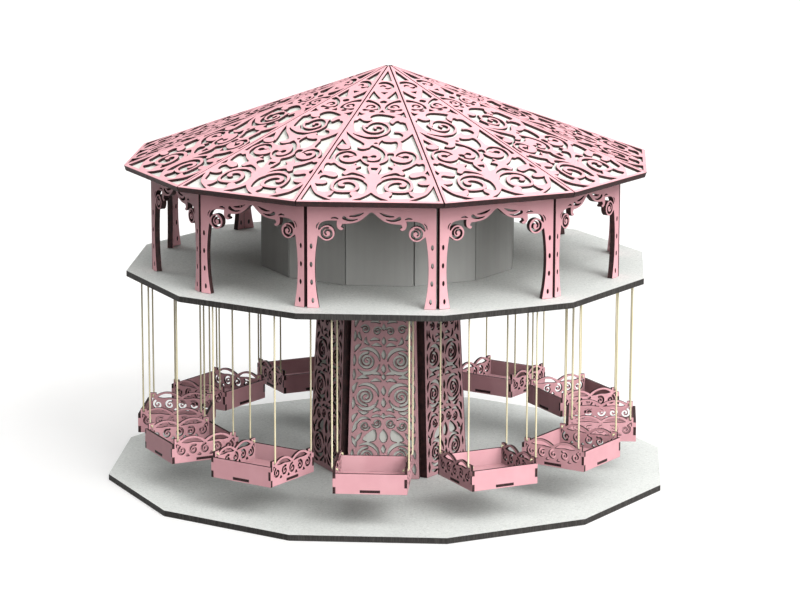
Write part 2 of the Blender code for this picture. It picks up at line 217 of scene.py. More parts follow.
def finish(name, paint):
    """A new material. paint() adds its nodes and returns what feeds the shader's sockets."""
    material = bpy.data.materials.new(name)
    material.use_nodes = True
    Shade.tree = material.node_tree
    shader = Shade.tree.nodes["Principled BSDF"]
    for socket, value in paint().items():
        Shade.feed(shader.inputs[socket], value)
    return material


def bump(height, strength, distance):
    """Small relief in the paint, with its distance in metres."""
    return Shade.node("Bump", Height=height, Strength=strength, Distance=distance)


# %% [markdown]
# The scrollwork is thin board painted a dusty pink and then cut by laser, so its faces are satin
# paint and every cut wall is burnt to a dark plum brown. Up close the paint lets the board's fine
# fibres through, pools a little unevenly, and is scorched in a hair's breadth along each cut.
# The meshes carry a number called burn, 1 on the edge and 0 on the face, for that last part.
# The column gets the same paint with painted shade in it, a quarter of the way to a dark grey, for
# the shadow that the deck casts over it.

# %% Pink paint
def pink_paint(painted_shade=0.0):
    pooling = noise(45.0, 4.0)
    fibres = noise(900.0, stretch=(1.0, 1.0, 0.35), roughness=0.6)
    burn = Shade.node("Attribute", {"attribute_name": "burn"}, out="Fac")
    scorch = burn.clamp(0.25, 0.95)
    paint = mix(pooling.clamp(0.3, 0.7), (0.725, 0.372, 0.415), (0.78, 0.422, 0.464))
    paint = mix(fibres.clamp(0.62, 0.86) * 0.35, paint, (0.62, 0.29, 0.335))
    paint = mix(fibres.clamp(0.30, 0.12) * 0.30, paint, (0.83, 0.545, 0.58))
    # Painted shade: the paint is mixed this far towards a dark grey, for a part that stands in
    # shadow.
    paint = mix(painted_shade, paint, (0.22, 0.20, 0.19))
    return {
        "Base Color": mix(scorch * 0.75, paint, (0.10, 0.035, 0.035)),
        "Roughness": 0.46 + 0.16 * pooling + 0.2 * scorch,
        "Normal": bump(fibres * 0.6 + pooling * 0.4, 0.22, 0.0002),
        "Specular IOR Level": 0.4,
    }


pink_board = finish("pink_paint", pink_paint)
# The column's paint, with painted shade a quarter of the way to grey.
shaded_pink_board = finish("shaded_pink_paint", lambda: pink_paint(0.25))


# %% [markdown]
# A laser leaves a cut wall dark and faintly ribbed across the thickness, glossy where resin has
# boiled out and dull where it is soot. It is a finish of its own rather than a mask in the paint,
# so that each wall keeps one clean colour right up to its corner.

# %% Burnt edge
def burnt_edge():
    ribs = noise(1500.0, 2.0, (1.0, 1.0, 0.12))
    soot = noise(160.0)
    base = mix(soot.clamp(0.35, 0.7), (0.020, 0.009, 0.010), (0.052, 0.021, 0.022))
    return {
        "Base Color": mix(ribs.clamp(0.55, 0.8) * 0.6, base, (0.10, 0.045, 0.042)),
        "Roughness": 0.5 + 0.35 * soot,
        "Normal": bump(ribs, 0.35, 0.00015),
        "Specular IOR Level": 0.3,
    }


pink_cut = finish("burnt_edge", burnt_edge)


# %% [markdown]
# Behind the scrollwork lies an unpainted cream board. It is matt, with the small uneven fibre
# specks of pressed pulp, and a little greyer where glue has wetted it.

# %% Cream backing
def cream_pulp():
    clouds = noise(30.0)
    specks = noise(1300.0, 2.0, roughness=0.7)
    pulp = mix(clouds.clamp(0.3, 0.7), (0.66, 0.665, 0.63), (0.74, 0.745, 0.705))
    pulp = mix(specks.clamp(0.60, 0.78) * 0.5, pulp, (0.60, 0.57, 0.52))
    return {
        "Base Color": pulp,
        "Roughness": 0.68 + 0.2 * specks,
        "Normal": bump(specks, 0.25, 0.0002),
        "Specular IOR Level": 0.25,
    }


cream_board = finish("cream_pulp", cream_pulp)


# %% [markdown]
# The plates are a pale board with a fine grey fleck, almost like terrazzo, and their sawn edges
# are dark. The plates keep their construction mesh, so the edge is found from the face's own
# direction: a face that looks sideways is an edge. The fleck mixes two sizes of cloudy noise.

# %% Flecked board
def flecked_board():
    edge = 1.0 - facing_up()
    fine = noise(1500.0, 2.0, roughness=0.75)
    coarse = noise(430.0, roughness=0.75)
    clouds = noise(9.0)
    top = mix(clouds.clamp(0.3, 0.7), (0.635, 0.66, 0.645), (0.675, 0.70, 0.685))
    top = mix(fine.clamp(0.52, 0.74) * 0.4, top, (0.42, 0.43, 0.42))
    top = mix(coarse.clamp(0.54, 0.68) * 0.6, top, (0.40, 0.415, 0.405))
    top = mix(coarse.clamp(0.44, 0.30) * 0.75, top, (0.85, 0.87, 0.85))
    saw = noise(700.0, stretch=(1.0, 1.0, 0.1))
    dark = mix(saw.clamp(0.4, 0.7), (0.022, 0.020, 0.019), (0.052, 0.048, 0.045))
    return {
        "Base Color": mix(edge, top, dark),
        "Roughness": 0.55 + 0.25 * fine,
        "Normal": bump(fine * 0.5 + coarse * 0.5, 0.2, 0.0002),
        "Specular IOR Level": 0.35,
    }


pale_board = finish("flecked_board", flecked_board)
print("materials so far:", len(bpy.data.materials))

# %% [markdown]
# Fretwork is a board with the air cut out of it. Subtracting hundreds of small solids with
# Booleans would be slow and fragile. It is easier to think of squared paper: each crossing of the
# grid holds how deep it lies inside the wood, in millimetres, and it is negative in the air.
# Cutting a shape is then a minimum, leaving wood standing is a maximum, and the saw line is
# wherever the number passes zero.

# %% Curves on squared paper
SAME_PLACE = 1e-6
LINE_STEPS = 5


def smooth_line(points, closed):
    """A line through these points. A point that has a third number 0 is a sharp corner."""
    anchors = []
    for point in points:
        anchors.append(point[:2])
        if len(point) == 3 and point[2] == 0:
            anchors.append(point[:2])
    anchors = np.array(anchors, float)
    before, after = np.roll(anchors, 1, axis=0), np.roll(anchors, -1, axis=0)
    beyond = np.roll(anchors, -2, axis=0)
    if not closed:
        before[0] = anchors[0]
        after[-1] = beyond[-2] = beyond[-1] = anchors[-1]
    t = (np.arange(LINE_STEPS) / LINE_STEPS)[None, :, None]
    leaving, arriving = (after - before)[:, None] / 2, (beyond - anchors)[:, None] / 2
    line = ((2 * t ** 3 - 3 * t ** 2 + 1) * anchors[:, None] + (t ** 3 - 2 * t ** 2 + t) * leaving
            + (t ** 3 - t ** 2) * arriving + (3 * t ** 2 - 2 * t ** 3) * after[:, None])
    if not closed:
        line = line[:-1]
    turns = np.hypot(*(after - anchors)[:len(line)].T) < SAME_PLACE
    line[turns] = anchors[:len(line)][turns][:, None]
    line = line.reshape(-1, 2)
    if not closed:
        line = np.vstack([line, anchors[-1:]])
    return line[np.r_[True, np.hypot(*np.diff(line, axis=0).T) > SAME_PLACE]]


def mirrored(points):
    return [(-p[0], *p[1:]) for p in points]


def corners(*points):
    """The same points, all of them sharp."""
    return [(u, v, 0) for u, v in points]


def box(u0, v0, u1, v1):
    """An upright rectangle."""
    return corners((u0, v0), (u1, v0), (u1, v1), (u0, v1))


def on_circle(centre, radius, degrees):
    angle = math.radians(degrees)
    return centre[0] + radius * math.cos(angle), centre[1] + radius * math.sin(angle)


class Paper:
    """Squared paper that holds the depth of wood at each crossing."""

    uncut = 9.0
    margin = 3.0

    def __init__(self, low, high, pitch):
        self.us = np.arange(low[0], high[0] + pitch, pitch)
        self.vs = np.arange(low[1], high[1] + pitch, pitch)
        self.pitch = pitch
        self.wood = np.full((len(self.vs), len(self.us)), self.uncut)

    def window(self, line, margin):
        """The part of the paper round a line."""
        (u0, v0), (u1, v1) = line.min(0) - margin, line.max(0) + margin
        u0, u1 = np.searchsorted(self.us, [u0, u1])
        v0, v1 = np.searchsorted(self.vs, [v0, v1])
        return slice(v0, v1), slice(u0, u1)

    def distances(self, start, run, window):
        """From each straight piece to each crossing: how far across and up, how far along the
        piece from 0 to 1, and the distance squared."""
        du = self.us[window[1]][None, :, None] - start[:, 0]
        dv = self.vs[window[0]][:, None, None] - start[:, 1]
        t = np.clip((du * run[:, 0] + dv * run[:, 1]) / (run ** 2).sum(1), 0, 1)
        return du, dv, t, (du - t * run[:, 0]) ** 2 + (dv - t * run[:, 1]) ** 2

    def inside(self, line, window):
        """How deep each crossing lies inside a closed line."""
        end = np.roll(line, -1, axis=0)
        run = end - line
        du, dv, _, square = self.distances(line, run, window)
        v = self.vs[window[0]][:, None, None]
        crosses = (line[:, 1] > v) != (end[:, 1] > v)
        slope = run[:, 0] / np.where(run[:, 1] == 0, 1.0, run[:, 1])
        odd = (crosses & (du < dv * slope)).sum(-1) % 2 == 1
        return np.where(odd, 1.0, -1.0) * np.sqrt(square.min(-1))

    def loop_depth(self, points):
        """The window round a closed loop, and how deep each crossing lies inside it."""
        line = smooth_line(points, True)
        window = self.window(line, self.margin)
        return window, self.inside(line, window)

    def stroke_depth(self, points):
        """The window round an open stroke of varying width, and the depth inside it."""
        line = smooth_line([p[:2] for p in points], False)
        spread = np.linspace(0, len(points) - 1, len(line))
        half = np.interp(spread, range(len(points)), [p[2] / 2 for p in points])
        window = self.window(line, half.max() + self.margin)
        _, _, t, square = self.distances(line[:-1], np.diff(line, axis=0), window)
        return window, (half[:-1] + t * np.diff(half) - np.sqrt(square)).max(-1)

    def leave(self, depth_of, lines):
        for points in lines:
            window, depth = depth_of(points)
            self.wood[window] = np.maximum(self.wood[window], depth)

    def remove(self, depth_of, lines):
        for points in lines:
            window, depth = depth_of(points)
            self.wood[window] = np.minimum(self.wood[window], -depth)

    def cut(self, *loops):
        """Cuts closed loops out."""
        self.remove(self.loop_depth, loops)

    def keep(self, *loops):
        """Leaves the inside of closed loops standing."""
        self.leave(self.loop_depth, loops)

    def draw(self, *strokes):
        """Leaves strokes of wood standing: each point is (u, v, width)."""
        self.leave(self.stroke_depth, strokes)

    def groove(self, *strokes):
        """Cuts strokes of air: each point is (u, v, width)."""
        self.remove(self.stroke_depth, strokes)

    def trim(self, outline):
        """Cuts away all that lies outside a straight-sided outline."""
        everything = slice(0, len(self.vs)), slice(0, len(self.us))
        line = np.array([p[:2] for p in outline], float)
        self.wood = np.minimum(self.wood, self.inside(line, everything))

# %% [markdown]
# The saw line is read off the paper by marching squares: each small square whose corners differ
# holds a piece of the line, and the pieces are chained into loops. A loop then has a point every
# third of a millimetre, so points that lie almost on a straight run are dropped again.

# %% Trace the saw line
NEAR_ZERO = 1e-5


def soften(wood, rounds):
    """Rounds off nicks as a saw of some width would."""
    for _ in range(rounds):
        wide = np.pad(wood, 1, mode="edge")
        wood = (wide[:-2, 1:-1] + wide[2:, 1:-1] + wide[1:-1, :-2] + wide[1:-1, 2:] + 4 * wood) / 8
    return wood


def saw_lines(paper, level, tolerance):
    """The closed lines where the depth of wood is level, wood on their left."""
    depth = paper.wood - level
    depth = np.where(np.abs(depth) < NEAR_ZERO, NEAR_ZERO, depth)
    full = depth > 0
    case = full[:-1, :-1] * 1 + full[:-1, 1:] * 2 + full[1:, 1:] * 4 + full[1:, :-1] * 8
    # Sides of a square: 0 bottom, 1 right, 2 top, 3 left. Each pair runs with wood on its left.
    runs = {1: [(0, 3)], 2: [(1, 0)], 3: [(1, 3)], 4: [(2, 1)], 5: [(0, 3), (2, 1)], 6: [(2, 0)],
            7: [(2, 3)], 8: [(3, 2)], 9: [(0, 2)], 10: [(1, 0), (3, 2)], 11: [(1, 2)],
            12: [(3, 1)], 13: [(0, 1)], 14: [(3, 0)]}
    after = {}
    for row, col in np.argwhere((case > 0) & (case < 15)):
        sides = ((row, col, 0), (row, col + 1, 1), (row + 1, col, 0), (row, col, 1))
        for come, go in runs[int(case[row, col])]:
            after[sides[come]] = sides[go]

    def place(side):
        row, col, upright = side
        here = depth[row, col]
        there = depth[row + 1, col] if upright else depth[row, col + 1]
        t = here / (here - there)
        return (paper.us[0] + (col + (0 if upright else t)) * paper.pitch,
                paper.vs[0] + (row + (t if upright else 0)) * paper.pitch)

    lines = []
    while after:
        first, side = after.popitem()
        chain = [first]
        while side != first:
            chain.append(side)
            side = after.pop(side)
        line = thin_out(np.array([place(s) for s in chain]), tolerance)
        if len(line) > 3:
            lines.append(line)
    return lines


def thin_out(line, tolerance):
    """Keeps only the points that a closed line needs."""
    far = int(np.argmax(np.hypot(*(line - line[0]).T)))
    kept = {0, far}
    open_runs = [(0, far), (far, len(line))]
    ring = np.vstack([line, line[:1]])
    while open_runs:
        a, b = open_runs.pop()
        if b - a < 2:
            continue
        run = ring[b] - ring[a]
        span = math.hypot(*run)
        off = ring[a + 1:b] - ring[a]
        if span < SAME_PLACE:
            gap = np.hypot(*off.T)
        else:
            gap = np.abs(off[:, 0] * run[1] - off[:, 1] * run[0]) / span
        worst = int(np.argmax(gap))
        if gap[worst] > tolerance:
            kept.add(a + 1 + worst)
            open_runs += [(a, a + 1 + worst), (a + 1 + worst, b)]
    return line[sorted(kept)]


# %% [markdown]
# Two saw lines make the board: the cut itself, and a line a quarter of a millimetre inside it.
# The triangles between them tip over as a small worn corner, and the rest is the flat face. One
# Delaunay triangulation fills both at once. It would also fill the holes, so each triangle is
# kept only if a ray from its middle crosses the cut an odd number of times. The face is shaded
# flat, as a board is, and only the worn corner and the cut walls are shaded round.

# %% Turn drawings into boards
WORN = 0.25
ROUNDED_UNDER = math.radians(32)
NEAR_STRAIGHT = 0.045
IN_ONE_GO = 1500


def in_wood(points, lines):
    """Which points lie in the wood, found a block at a time to save memory."""
    start = np.vstack(lines)
    end = np.vstack([np.roll(line, -1, axis=0) for line in lines])
    odd = np.zeros(len(points), bool)
    for block in range(0, len(points), IN_ONE_GO):
        u, v = (points[block:block + IN_ONE_GO, axis, None] for axis in (0, 1))
        crosses = (start[:, 1] > v) != (end[:, 1] > v)
        rise = np.where(end[:, 1] == start[:, 1], 1.0, end[:, 1] - start[:, 1])
        reach = start[:, 0] + (v - start[:, 1]) * (end[:, 0] - start[:, 0]) / rise
        odd[block:block + IN_ONE_GO] = (crosses & (u < reach)).sum(1) % 2 == 1
    return odd


def fill_wood(paper, tolerance, worn):
    """The face as triangles: its points, its triangles, and the sides that lie on the cut."""
    cuts = saw_lines(paper, 0.0, tolerance)
    lips = saw_lines(paper, worn, tolerance)
    points, edges = [], []
    for line in cuts + lips:
        base = len(points)
        points += [Vector(p) for p in line]
        edges += [(base + i, base + (i + 1) % len(line)) for i in range(len(line))]
    found, _, triangles, *_ = delaunay_2d_cdt(points, edges, [], 1, NEAR_ZERO)
    found = np.array([tuple(p) for p in found])
    triangles = np.array([t for t in triangles if len(t) == 3])
    triangles = triangles[in_wood(found[triangles].mean(1), cuts)]
    a, b, c = (found[triangles[:, k]] for k in range(3))
    ab, ac = b - a, c - a
    turned = ab[:, 0] * ac[:, 1] - ab[:, 1] * ac[:, 0] < 0
    triangles[turned] = triangles[turned][:, ::-1]
    sides = np.vstack([triangles[:, [0, 1]], triangles[:, [1, 2]], triangles[:, [2, 0]]])
    known = {tuple(side) for side in sides.tolist()}
    rim = [side for side in sides.tolist() if (side[1], side[0]) not in known]
    return found, triangles, rim


def new_mesh(name, points, faces, finishes, slots=None):
    """A mesh, its finishes, and the number of the finish on each face."""
    mesh = bpy.data.meshes.new(name)
    mesh.from_pydata([tuple(p) for p in points], [], faces)
    for item in finishes:
        mesh.materials.append(item)
    if slots:
        mesh.polygons.foreach_set("material_index", slots)
    return mesh


def board_mesh(name, filled, place, low, high, worn, finishes, both_faces=False):
    """A board with its saw cuts, from z low to z high. place(u, v, z) gives a point in metres."""
    found, triangles, rim = filled
    on_cut = np.zeros(len(found), bool)
    on_cut[np.array(rim).ravel()] = True
    top = [place(u, v, high - (worn if cut else 0.0)) for (u, v), cut in zip(found, on_cut)]
    cut_index = {int(i): len(top) + k for k, i in enumerate(np.flatnonzero(on_cut))}
    under = low + (worn if both_faces else 0.0)
    bottom = [place(found[i][0], found[i][1], under) for i in cut_index]
    points, faces, slots = top + bottom, triangles.tolist(), [0] * len(triangles)
    burn = [float(cut) for cut in on_cut] + [1.0] * len(bottom)
    for a, b in rim:
        faces.append([b, a, cut_index[a], cut_index[b]])
        slots.append(1)
    if both_faces:
        inner = {}
        for i in np.flatnonzero(~on_cut):
            inner[int(i)] = len(points)
            points.append(place(found[i][0], found[i][1], low))
            burn.append(0.0)
        inner.update(cut_index)
        faces += [[inner[c], inner[b], inner[a]] for a, b, c in triangles.tolist()]
        slots += [0] * len(triangles)
    mesh = new_mesh(name, points, faces, finishes, slots)
    mesh.attributes.new("burn", "FLOAT", "POINT").data.foreach_set("value", burn)
    mesh.set_sharp_from_angle(angle=ROUNDED_UNDER)
    curved = on_cut[triangles].any(1).tolist()
    behind = curved if both_faces else []
    mesh.polygons.foreach_set("use_smooth", curved + [True] * len(rim) + behind)
    mesh.update()
    return mesh


def hang_round(*kinds, sides=SIDES):
    """Hangs each kind of piece on every side, turned about the carousel's axis. A kind is its
    name, its mesh, its slot, which is not used, and the construction's node that it replaces
    or None."""
    for side in range(sides):
        number = f"{side + 1:02d}"
        for name, mesh, slot, node in kinds:
            piece = bpy.data.objects.new(f"{name}_{number}", mesh)
            scene.collection.objects.link(piece)
            piece.rotation_euler = (0.0, 0.0, side * SIDES // sides * SIDE_ANGLE)
            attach(piece, "root")
            if node:
                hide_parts(f"{node}_{number}")

# %% [markdown]
# The roof's scrollwork is one drawing, used on all twelve sides. It is drawn as a carver would:
# the big openings are cut first, and then the volutes are left standing in them as strokes that
# swell and taper. u runs across the panel and v up the slope, in millimetres, from the middle of
# the eave. The lower half mirrors. Above it the real sheet is lopsided, and so is this one.

# %% Draw the roof's scrollwork
ROOF_BURNT_AWAY = 0.18
ROOF_HALF = ((ROOF_REACH - ROOF_THICK * math.sin(ROOF_SLOPE)) * HALF_SIDE
             - JOINT_GAP / (2 * math.cos(SIDE_ANGLE / 2)))
ROOF_LENGTH = ROOF_HALF / HALF_SIDE / math.cos(ROOF_SLOPE)
roof = Paper((-74.0, -1.0), (74.0, 286.0), 0.3)
ring_cell = [
    (7.1, 45.2, 0), (8.6, 48.7), (11.1, 52.3), (14.7, 54.8), (18.7, 57.1), (21.8, 57.7),
    (24.3, 56.1), (26.3, 53.8), (28.9, 53.5), (30.4, 55.3), (32.2, 54.3), (34.4, 53.3),
    (35.5, 51.3), (37, 49.4), (40, 49.1), (43, 50), (45.6, 51.5), (47.9, 52.5), (50.1, 51.8),
    (51.7, 49.7), (52.2, 46.2), (51.4, 43, 0), (46.5, 42.4), (44.3, 40.4), (44, 39), (44.3, 37.8),
    (45.6, 36.2), (48.1, 35), (51.2, 34.8), (53.7, 35), (56.2, 35.8, 0), (54.3, 31), (53.7, 28),
    (53.2, 25.4), (52.2, 21.5, 0), (47, 20), (42, 20.3), (38.5, 22), (36.2, 20.3), (37.2, 18),
    (38.1, 15), (40, 12.8), (42.3, 10.6, 0), (38, 8.5), (34, 8), (27, 7.5), (22, 8), (19.5, 8.4),
    (18.2, 10.2), (18.7, 12.2), (20.5, 14.8), (20.6, 18.6), (18, 20.8), (14.6, 20.8), (12.6, 18.8),
    (10, 16.8), (7.5, 17.1), (6.1, 20.4), (5, 24.4), (4.6, 29.5), (5.1, 34.5), (6.6, 37.6),
    (9.1, 41.3)]
big_volute = [
    (3, 37, 4), (7.5, 43.2, 4), (13, 47.9, 4.2), (20.3, 50.2, 4.1), (28.4, 48.6, 3.8),
    (34.4, 44.6, 3.6), (37.9, 38.4, 3.2), (39, 31, 3.3), (37.9, 25.6, 3.6), (34, 22.1, 4),
    (28, 21.2, 4.2), (21, 21.9, 4.3), (16, 24.6, 4.3), (14, 29.4, 4.1), (15, 34.6, 4.3),
    (18.2, 39, 4.6), (23, 41.3, 4.8), (27.8, 40.6, 4.6), (31.2, 37.4, 4.8), (30.6, 33.6, 5.4),
    (28.6, 33, 4.6)]
corner_cell = [
    (59.9, 33, 0), (67.3, 3.8, 0), (38, 3.8, 0), (40.5, 5.4), (44.6, 8.2), (48.6, 11.2),
    (53.2, 15.3), (56.2, 20.4), (58.6, 27)]
leaf_cell = [
    (27.6, 63), (29.1, 65.1), (33.3, 68.2), (36.4, 71.3), (38.5, 74.5), (40.8, 77.1, 0),
    (42.7, 75.8), (44.2, 75.5), (46.3, 76.8), (48.1, 76), (49.2, 72.4), (49.7, 67.2),
    (49.3, 61.3, 0), (45, 60.5), (40, 59.5), (36.5, 57.3), (34.6, 52.8, 0), (31.6, 52.6, 0),
    (31.2, 56), (29.8, 59.6)]
diamond = corners((52.4, 62.6), (50.5, 56.8), (55, 52.9), (54.2, 57.5))
foot_tent = corners((0, 19)) + [(3, 14.8), (6.6, 11.2), (10.1, 8.2), (14.7, 5.7), (17.4, 3.8, 0)]
foot_tent += mirrored(foot_tent[:0:-1])
disc_hook = [
    (16.7, 62.4), (18, 64.4), (17.5, 67), (13.4, 69.8), (13, 70.6), (16.5, 71.8), (20, 72.6, 0),
    (18.3, 75.5), (18.4, 77.5), (20, 76.8), (23, 73), (24.4, 71), (28, 73), (33, 75.5), (37, 79),
    (39.4, 83), (40, 88), (39.5, 91.6), (38.5, 94.2), (36.9, 96.8), (34.8, 98.9), (31.7, 100.2),
    (28.6, 101), (26, 100.5), (23.4, 98.9), (21.3, 96.8), (19.8, 93.7), (19.5, 91), (20.5, 90.6),
    (22.4, 93.7), (25, 95.8), (29.1, 97.1), (32.2, 95.8), (35, 93.2), (36.3, 90), (36.4, 86.4),
    (35.2, 83.3), (33.1, 80.7), (29.6, 78.9), (26, 78.6), (21.8, 79.7), (18.2, 81.7), (15.6, 84.9)]
neck = [(7, 68), (5.8, 62), (4.3, 56), (5.2, 54.6), (8.4, 55.6), (12.4, 58.4)]
right_flank = disc_hook + [
    (14.3, 88), (14.2, 90, 0), (17, 90.2), (16.9, 96.4), (11.4, 96.2), (11.4, 90.2),
    (12.6, 89.6, 0), (12.5, 86), (11.6, 82.6), (9, 79), (4.4, 75.5), (6, 71.6)] + neck
left_flank = mirrored(disc_hook + [
    (14.8, 84.2), (12.6, 79.6), (10, 76.6), (7.4, 74.4), (5.6, 73.2), (6.4, 71)] + neck)
disc_eye = [(26.3, 89), (26.8, 91.2), (29.4, 92.2), (32, 91.2), (32.6, 89), (31.8, 87),
            (29.4, 86.3), (27, 87.2)]
eye_tail = [(22.2, 91.2, 0.7), (24.4, 89.8, 1.3), (27, 89, 1.8)]
heart_slot = corners((-3.6, 67.6), (3.6, 67.6)) + [
    (2.6, 63.6), (1.5, 61.4, 0), (-1.5, 61.4, 0), (-2.6, 63.6)]
both_halves = [ring_cell, corner_cell, leaf_cell, diamond, disc_eye]
roof.cut(foot_tent, heart_slot, right_flank, left_flank, *both_halves, *map(mirrored, both_halves))
roof.draw(big_volute, mirrored(big_volute))
roof.groove(eye_tail, mirrored(eye_tail))
print("lower half drawn, the sheet is", round(2 * ROOF_HALF, 1), "by", round(ROOF_LENGTH, 1), "mm")

# %% [markdown]
# The upper half goes on the same paper. Two discs, a brow and a lopsided curl stand between the
# openings here, and only the pair of horns near the tip mirrors. At the end every cut is made a
# fifth of a millimetre wider all round, which is about what a laser burns away.

# %% Draw the upper half
right_rim_cell = [
    (33.3, 137.2, 0), (40.6, 109), (46.6, 84.4, 0), (43.4, 83.8), (43.2, 88), (42.2, 93),
    (39.8, 96.4), (36.6, 100.8), (29.5, 103.2), (25.8, 105), (24.9, 110), (24.5, 115),
    (24.4, 118.2), (22.6, 120.8), (26, 125), (30, 131)]
right_pocket = [
    (4, 123.3), (4.7, 121.8), (6.8, 120.5), (9.9, 120), (13.5, 120), (16.1, 121), (17.9, 121),
    (19.2, 119.2), (20, 115.6), (20, 110.9), (19.5, 106.7), (17.6, 102.4), (14, 100.2),
    (11, 100.6), (8.5, 104), (5.4, 108.6), (1.6, 112.6), (1.4, 117), (2.8, 121.6)]
spot = [(-4, 117), (-2, 118.6), (0, 117), (-2, 115.4)]
left_rim_cell = [
    (-33, 140.6, 0), (-30.8, 136.9), (-27.7, 132.2), (-24.6, 128), (-20.9, 124.4), (-17.8, 121.3),
    (-15.2, 118.2), (-13.4, 115.6), (-14.1, 112.4), (-17, 110.2), (-20.2, 108.8, 0),
    (-19.9, 107.8), (-17.8, 106.2), (-15.2, 105.2), (-12.6, 105.4), (-10, 106.7), (-7.4, 108.8),
    (-6.9, 110.9), (-6.1, 112.4), (-4.8, 113), (-3.2, 111.4), (0, 109.1), (2.6, 106.2),
    (5.2, 103.1), (7.3, 98.9), (8.6, 95.3), (8.8, 92.2), (8.6, 88), (6.8, 83.3), (3.6, 79.6),
    (-1, 78), (-5.6, 78.6), (-9.8, 80.6), (-12.4, 84), (-13.4, 88), (-12.8, 91), (-9.6, 96),
    (-12.2, 99.6), (-17, 100.8), (-22, 102.6), (-25.4, 105), (-26, 110), (-26.8, 115),
    (-28.5, 121.4), (-31, 130)]
small_disc = [
    (-17.4, 101, 0), (-14, 100.4), (-11, 101.4), (-8.4, 103.4), (-5.4, 105.4), (-2.2, 105),
    (0.6, 102.6), (2.8, 99.4), (4.4, 95.6), (5.2, 91.2), (4.6, 86.6), (2.4, 83.4), (0, 82),
    (-2.7, 81.2), (-5.8, 81.5), (-8.2, 83.2), (-8.4, 85.4), (-8.2, 88.6), (-9.6, 90.6),
    (-12.6, 90.4, 0), (-15, 95)]
small_eye = [(-5.2, 89.6), (-4.4, 91.8), (-2.4, 92.7), (-0.4, 91.8), (0.4, 89.6), (-0.8, 87.4),
             (-2.6, 87)]
small_link = [(-8.6, 88.6, 1.2), (-6.6, 89, 0.9), (-4, 90, 1.4)]
left_disc_cell = [
    (-36, 125, 0), (-33.6, 119.8), (-31.8, 115.4), (-30.3, 112.4), (-27.4, 110.2), (-26.4, 107.8),
    (-27, 103.8), (-31, 101.8), (-36.2, 100.6), (-40.2, 96.6), (-42.6, 91.4), (-43.2, 84, 0),
    (-46.6, 84, 0), (-44, 96), (-41.4, 106.8), (-39.8, 114)]
left_disc = [
    (-26.6, 107, 0), (-28.2, 105.6), (-30.8, 104.4), (-36, 104.4), (-39.4, 107), (-40.2, 110.2),
    (-37.6, 113), (-33, 114.4), (-29.6, 112.6), (-27, 109.6, 0)]
brow = [
    (-26.1, 137.1), (-23, 134.8), (-18.8, 132.7), (-15.2, 130.9), (-12.1, 130), (-7.4, 129.9),
    (-3.7, 130.1), (0, 130.8), (3.1, 132.7), (6.2, 135.3), (8.3, 137.9), (9.4, 140), (10.6, 143.4),
    (11.4, 147.6), (10.2, 152), (8.2, 156.4), (7.6, 161.3), (8.8, 162.5), (10, 159), (12.3, 157.8),
    (13.8, 160.1), (15.3, 163.1), (17.6, 163.9), (19.4, 161.3), (22.3, 161), (24.9, 159),
    (25.8, 156), (27, 151.3), (28.2, 144.9), (26, 142.6), (21, 142.4), (17, 144), (14.6, 141.4),
    (15, 140.2), (15.8, 139.6), (18.8, 139.6), (21.1, 138.4), (23.5, 135.5), (24.2, 132.2),
    (22.4, 129.2), (17, 128.2), (12.4, 128.6), (11.2, 132), (10, 133.4), (7.8, 132.2), (4.2, 130),
    (0, 126.6), (-4, 124.4), (-7.4, 124.1), (-11, 125.4), (-15.2, 127.5), (-20.4, 130.6),
    (-25.6, 135.6)]
upper_cell = [
    (-12.3, 151.3), (-11.7, 153.7), (-9.4, 157.2), (-6.5, 159.5), (-2.9, 160.4), (0.6, 159.5),
    (4.1, 157.2), (6.5, 154.3), (7.9, 151.3), (8.6, 148), (8.4, 144), (6.6, 140.6), (4, 137.4),
    (0.4, 135), (-4, 133.8), (-9, 134.8), (-13, 137.4), (-16.4, 141.6), (-18.4, 146), (-19.2, 143),
    (-20.6, 141), (-24.6, 142), (-26.4, 152), (-27, 162.6), (-23.8, 164.8), (-22.3, 168),
    (-20.5, 167.2), (-18.2, 164.2), (-14.7, 163.1), (-11.1, 163.7), (-8.8, 164.6), (-11.4, 160.4),
    (-14.6, 155.6), (-17, 151), (-15.4, 149.6)]
upper_volute = [
    (-17.4, 154, 2.6), (-15.8, 147.6, 2.8), (-12.4, 142.8, 2.8), (-7.6, 140.4, 2.6),
    (-2.4, 140.6, 2.6), (1.6, 143.4, 2.6), (3.4, 147.4, 2.8), (1.8, 151.2, 3), (-1.8, 153, 3),
    (-5.4, 151, 3), (-4.6, 148.4, 3.2)]
crown = [
    (-11.1, 170.1), (-10.6, 173), (-8.8, 175.4), (-5.9, 177.1), (-1.8, 177.7), (2.9, 176.9),
    (7.6, 175.4), (11.7, 173.6), (14.1, 171.7), (12.1, 169.6), (10, 167.4), (8.4, 163), (4, 161.8),
    (-1, 162.4), (-5.6, 162), (-8.6, 164), (-9, 167.6)]
rim_darts = [
    [(-23.3, 182, 0), (-20.8, 179), (-17, 177.7, 0), (-20.4, 175.6), (-24.5, 172.8, 0)],
    [(22, 182.6, 0), (18.8, 178.6), (14.7, 176.9, 0), (18.6, 176), (25.2, 170.4, 0)],
    corners((-0.3, 186), (-3.2, 181), (2.9, 181))]
oval = [(-3.8, 203.3), (0, 206.5), (3.8, 203.3), (0, 200.1)]
horn = [
    (-18, 203.4), (-16.4, 207.5), (-14.7, 207.4), (-11.1, 205.3), (-7.6, 202.4), (-4.7, 198.9),
    (-2.9, 194.7), (-2.3, 190.6), (-3.5, 186.7), (-6.5, 186.6), (-8.2, 185.4), (-11.1, 184.8),
    (-14.7, 185.2), (-18.4, 184.4), (-20.4, 186.6), (-18.6, 188.6), (-16, 187.4), (-12, 186.6),
    (-7.6, 187.8), (-5, 190), (-4.9, 193.6), (-6.9, 197.4), (-9.6, 200.2), (-13, 201.8)]
horn_curl = [
    (-16.6, 191.2, 0.8), (-15.4, 194.4, 1.9), (-12.4, 196.2, 2.3), (-9.2, 194.6, 2.3),
    (-8.8, 191.8, 1.9), (-11.4, 191.2, 1.6)]
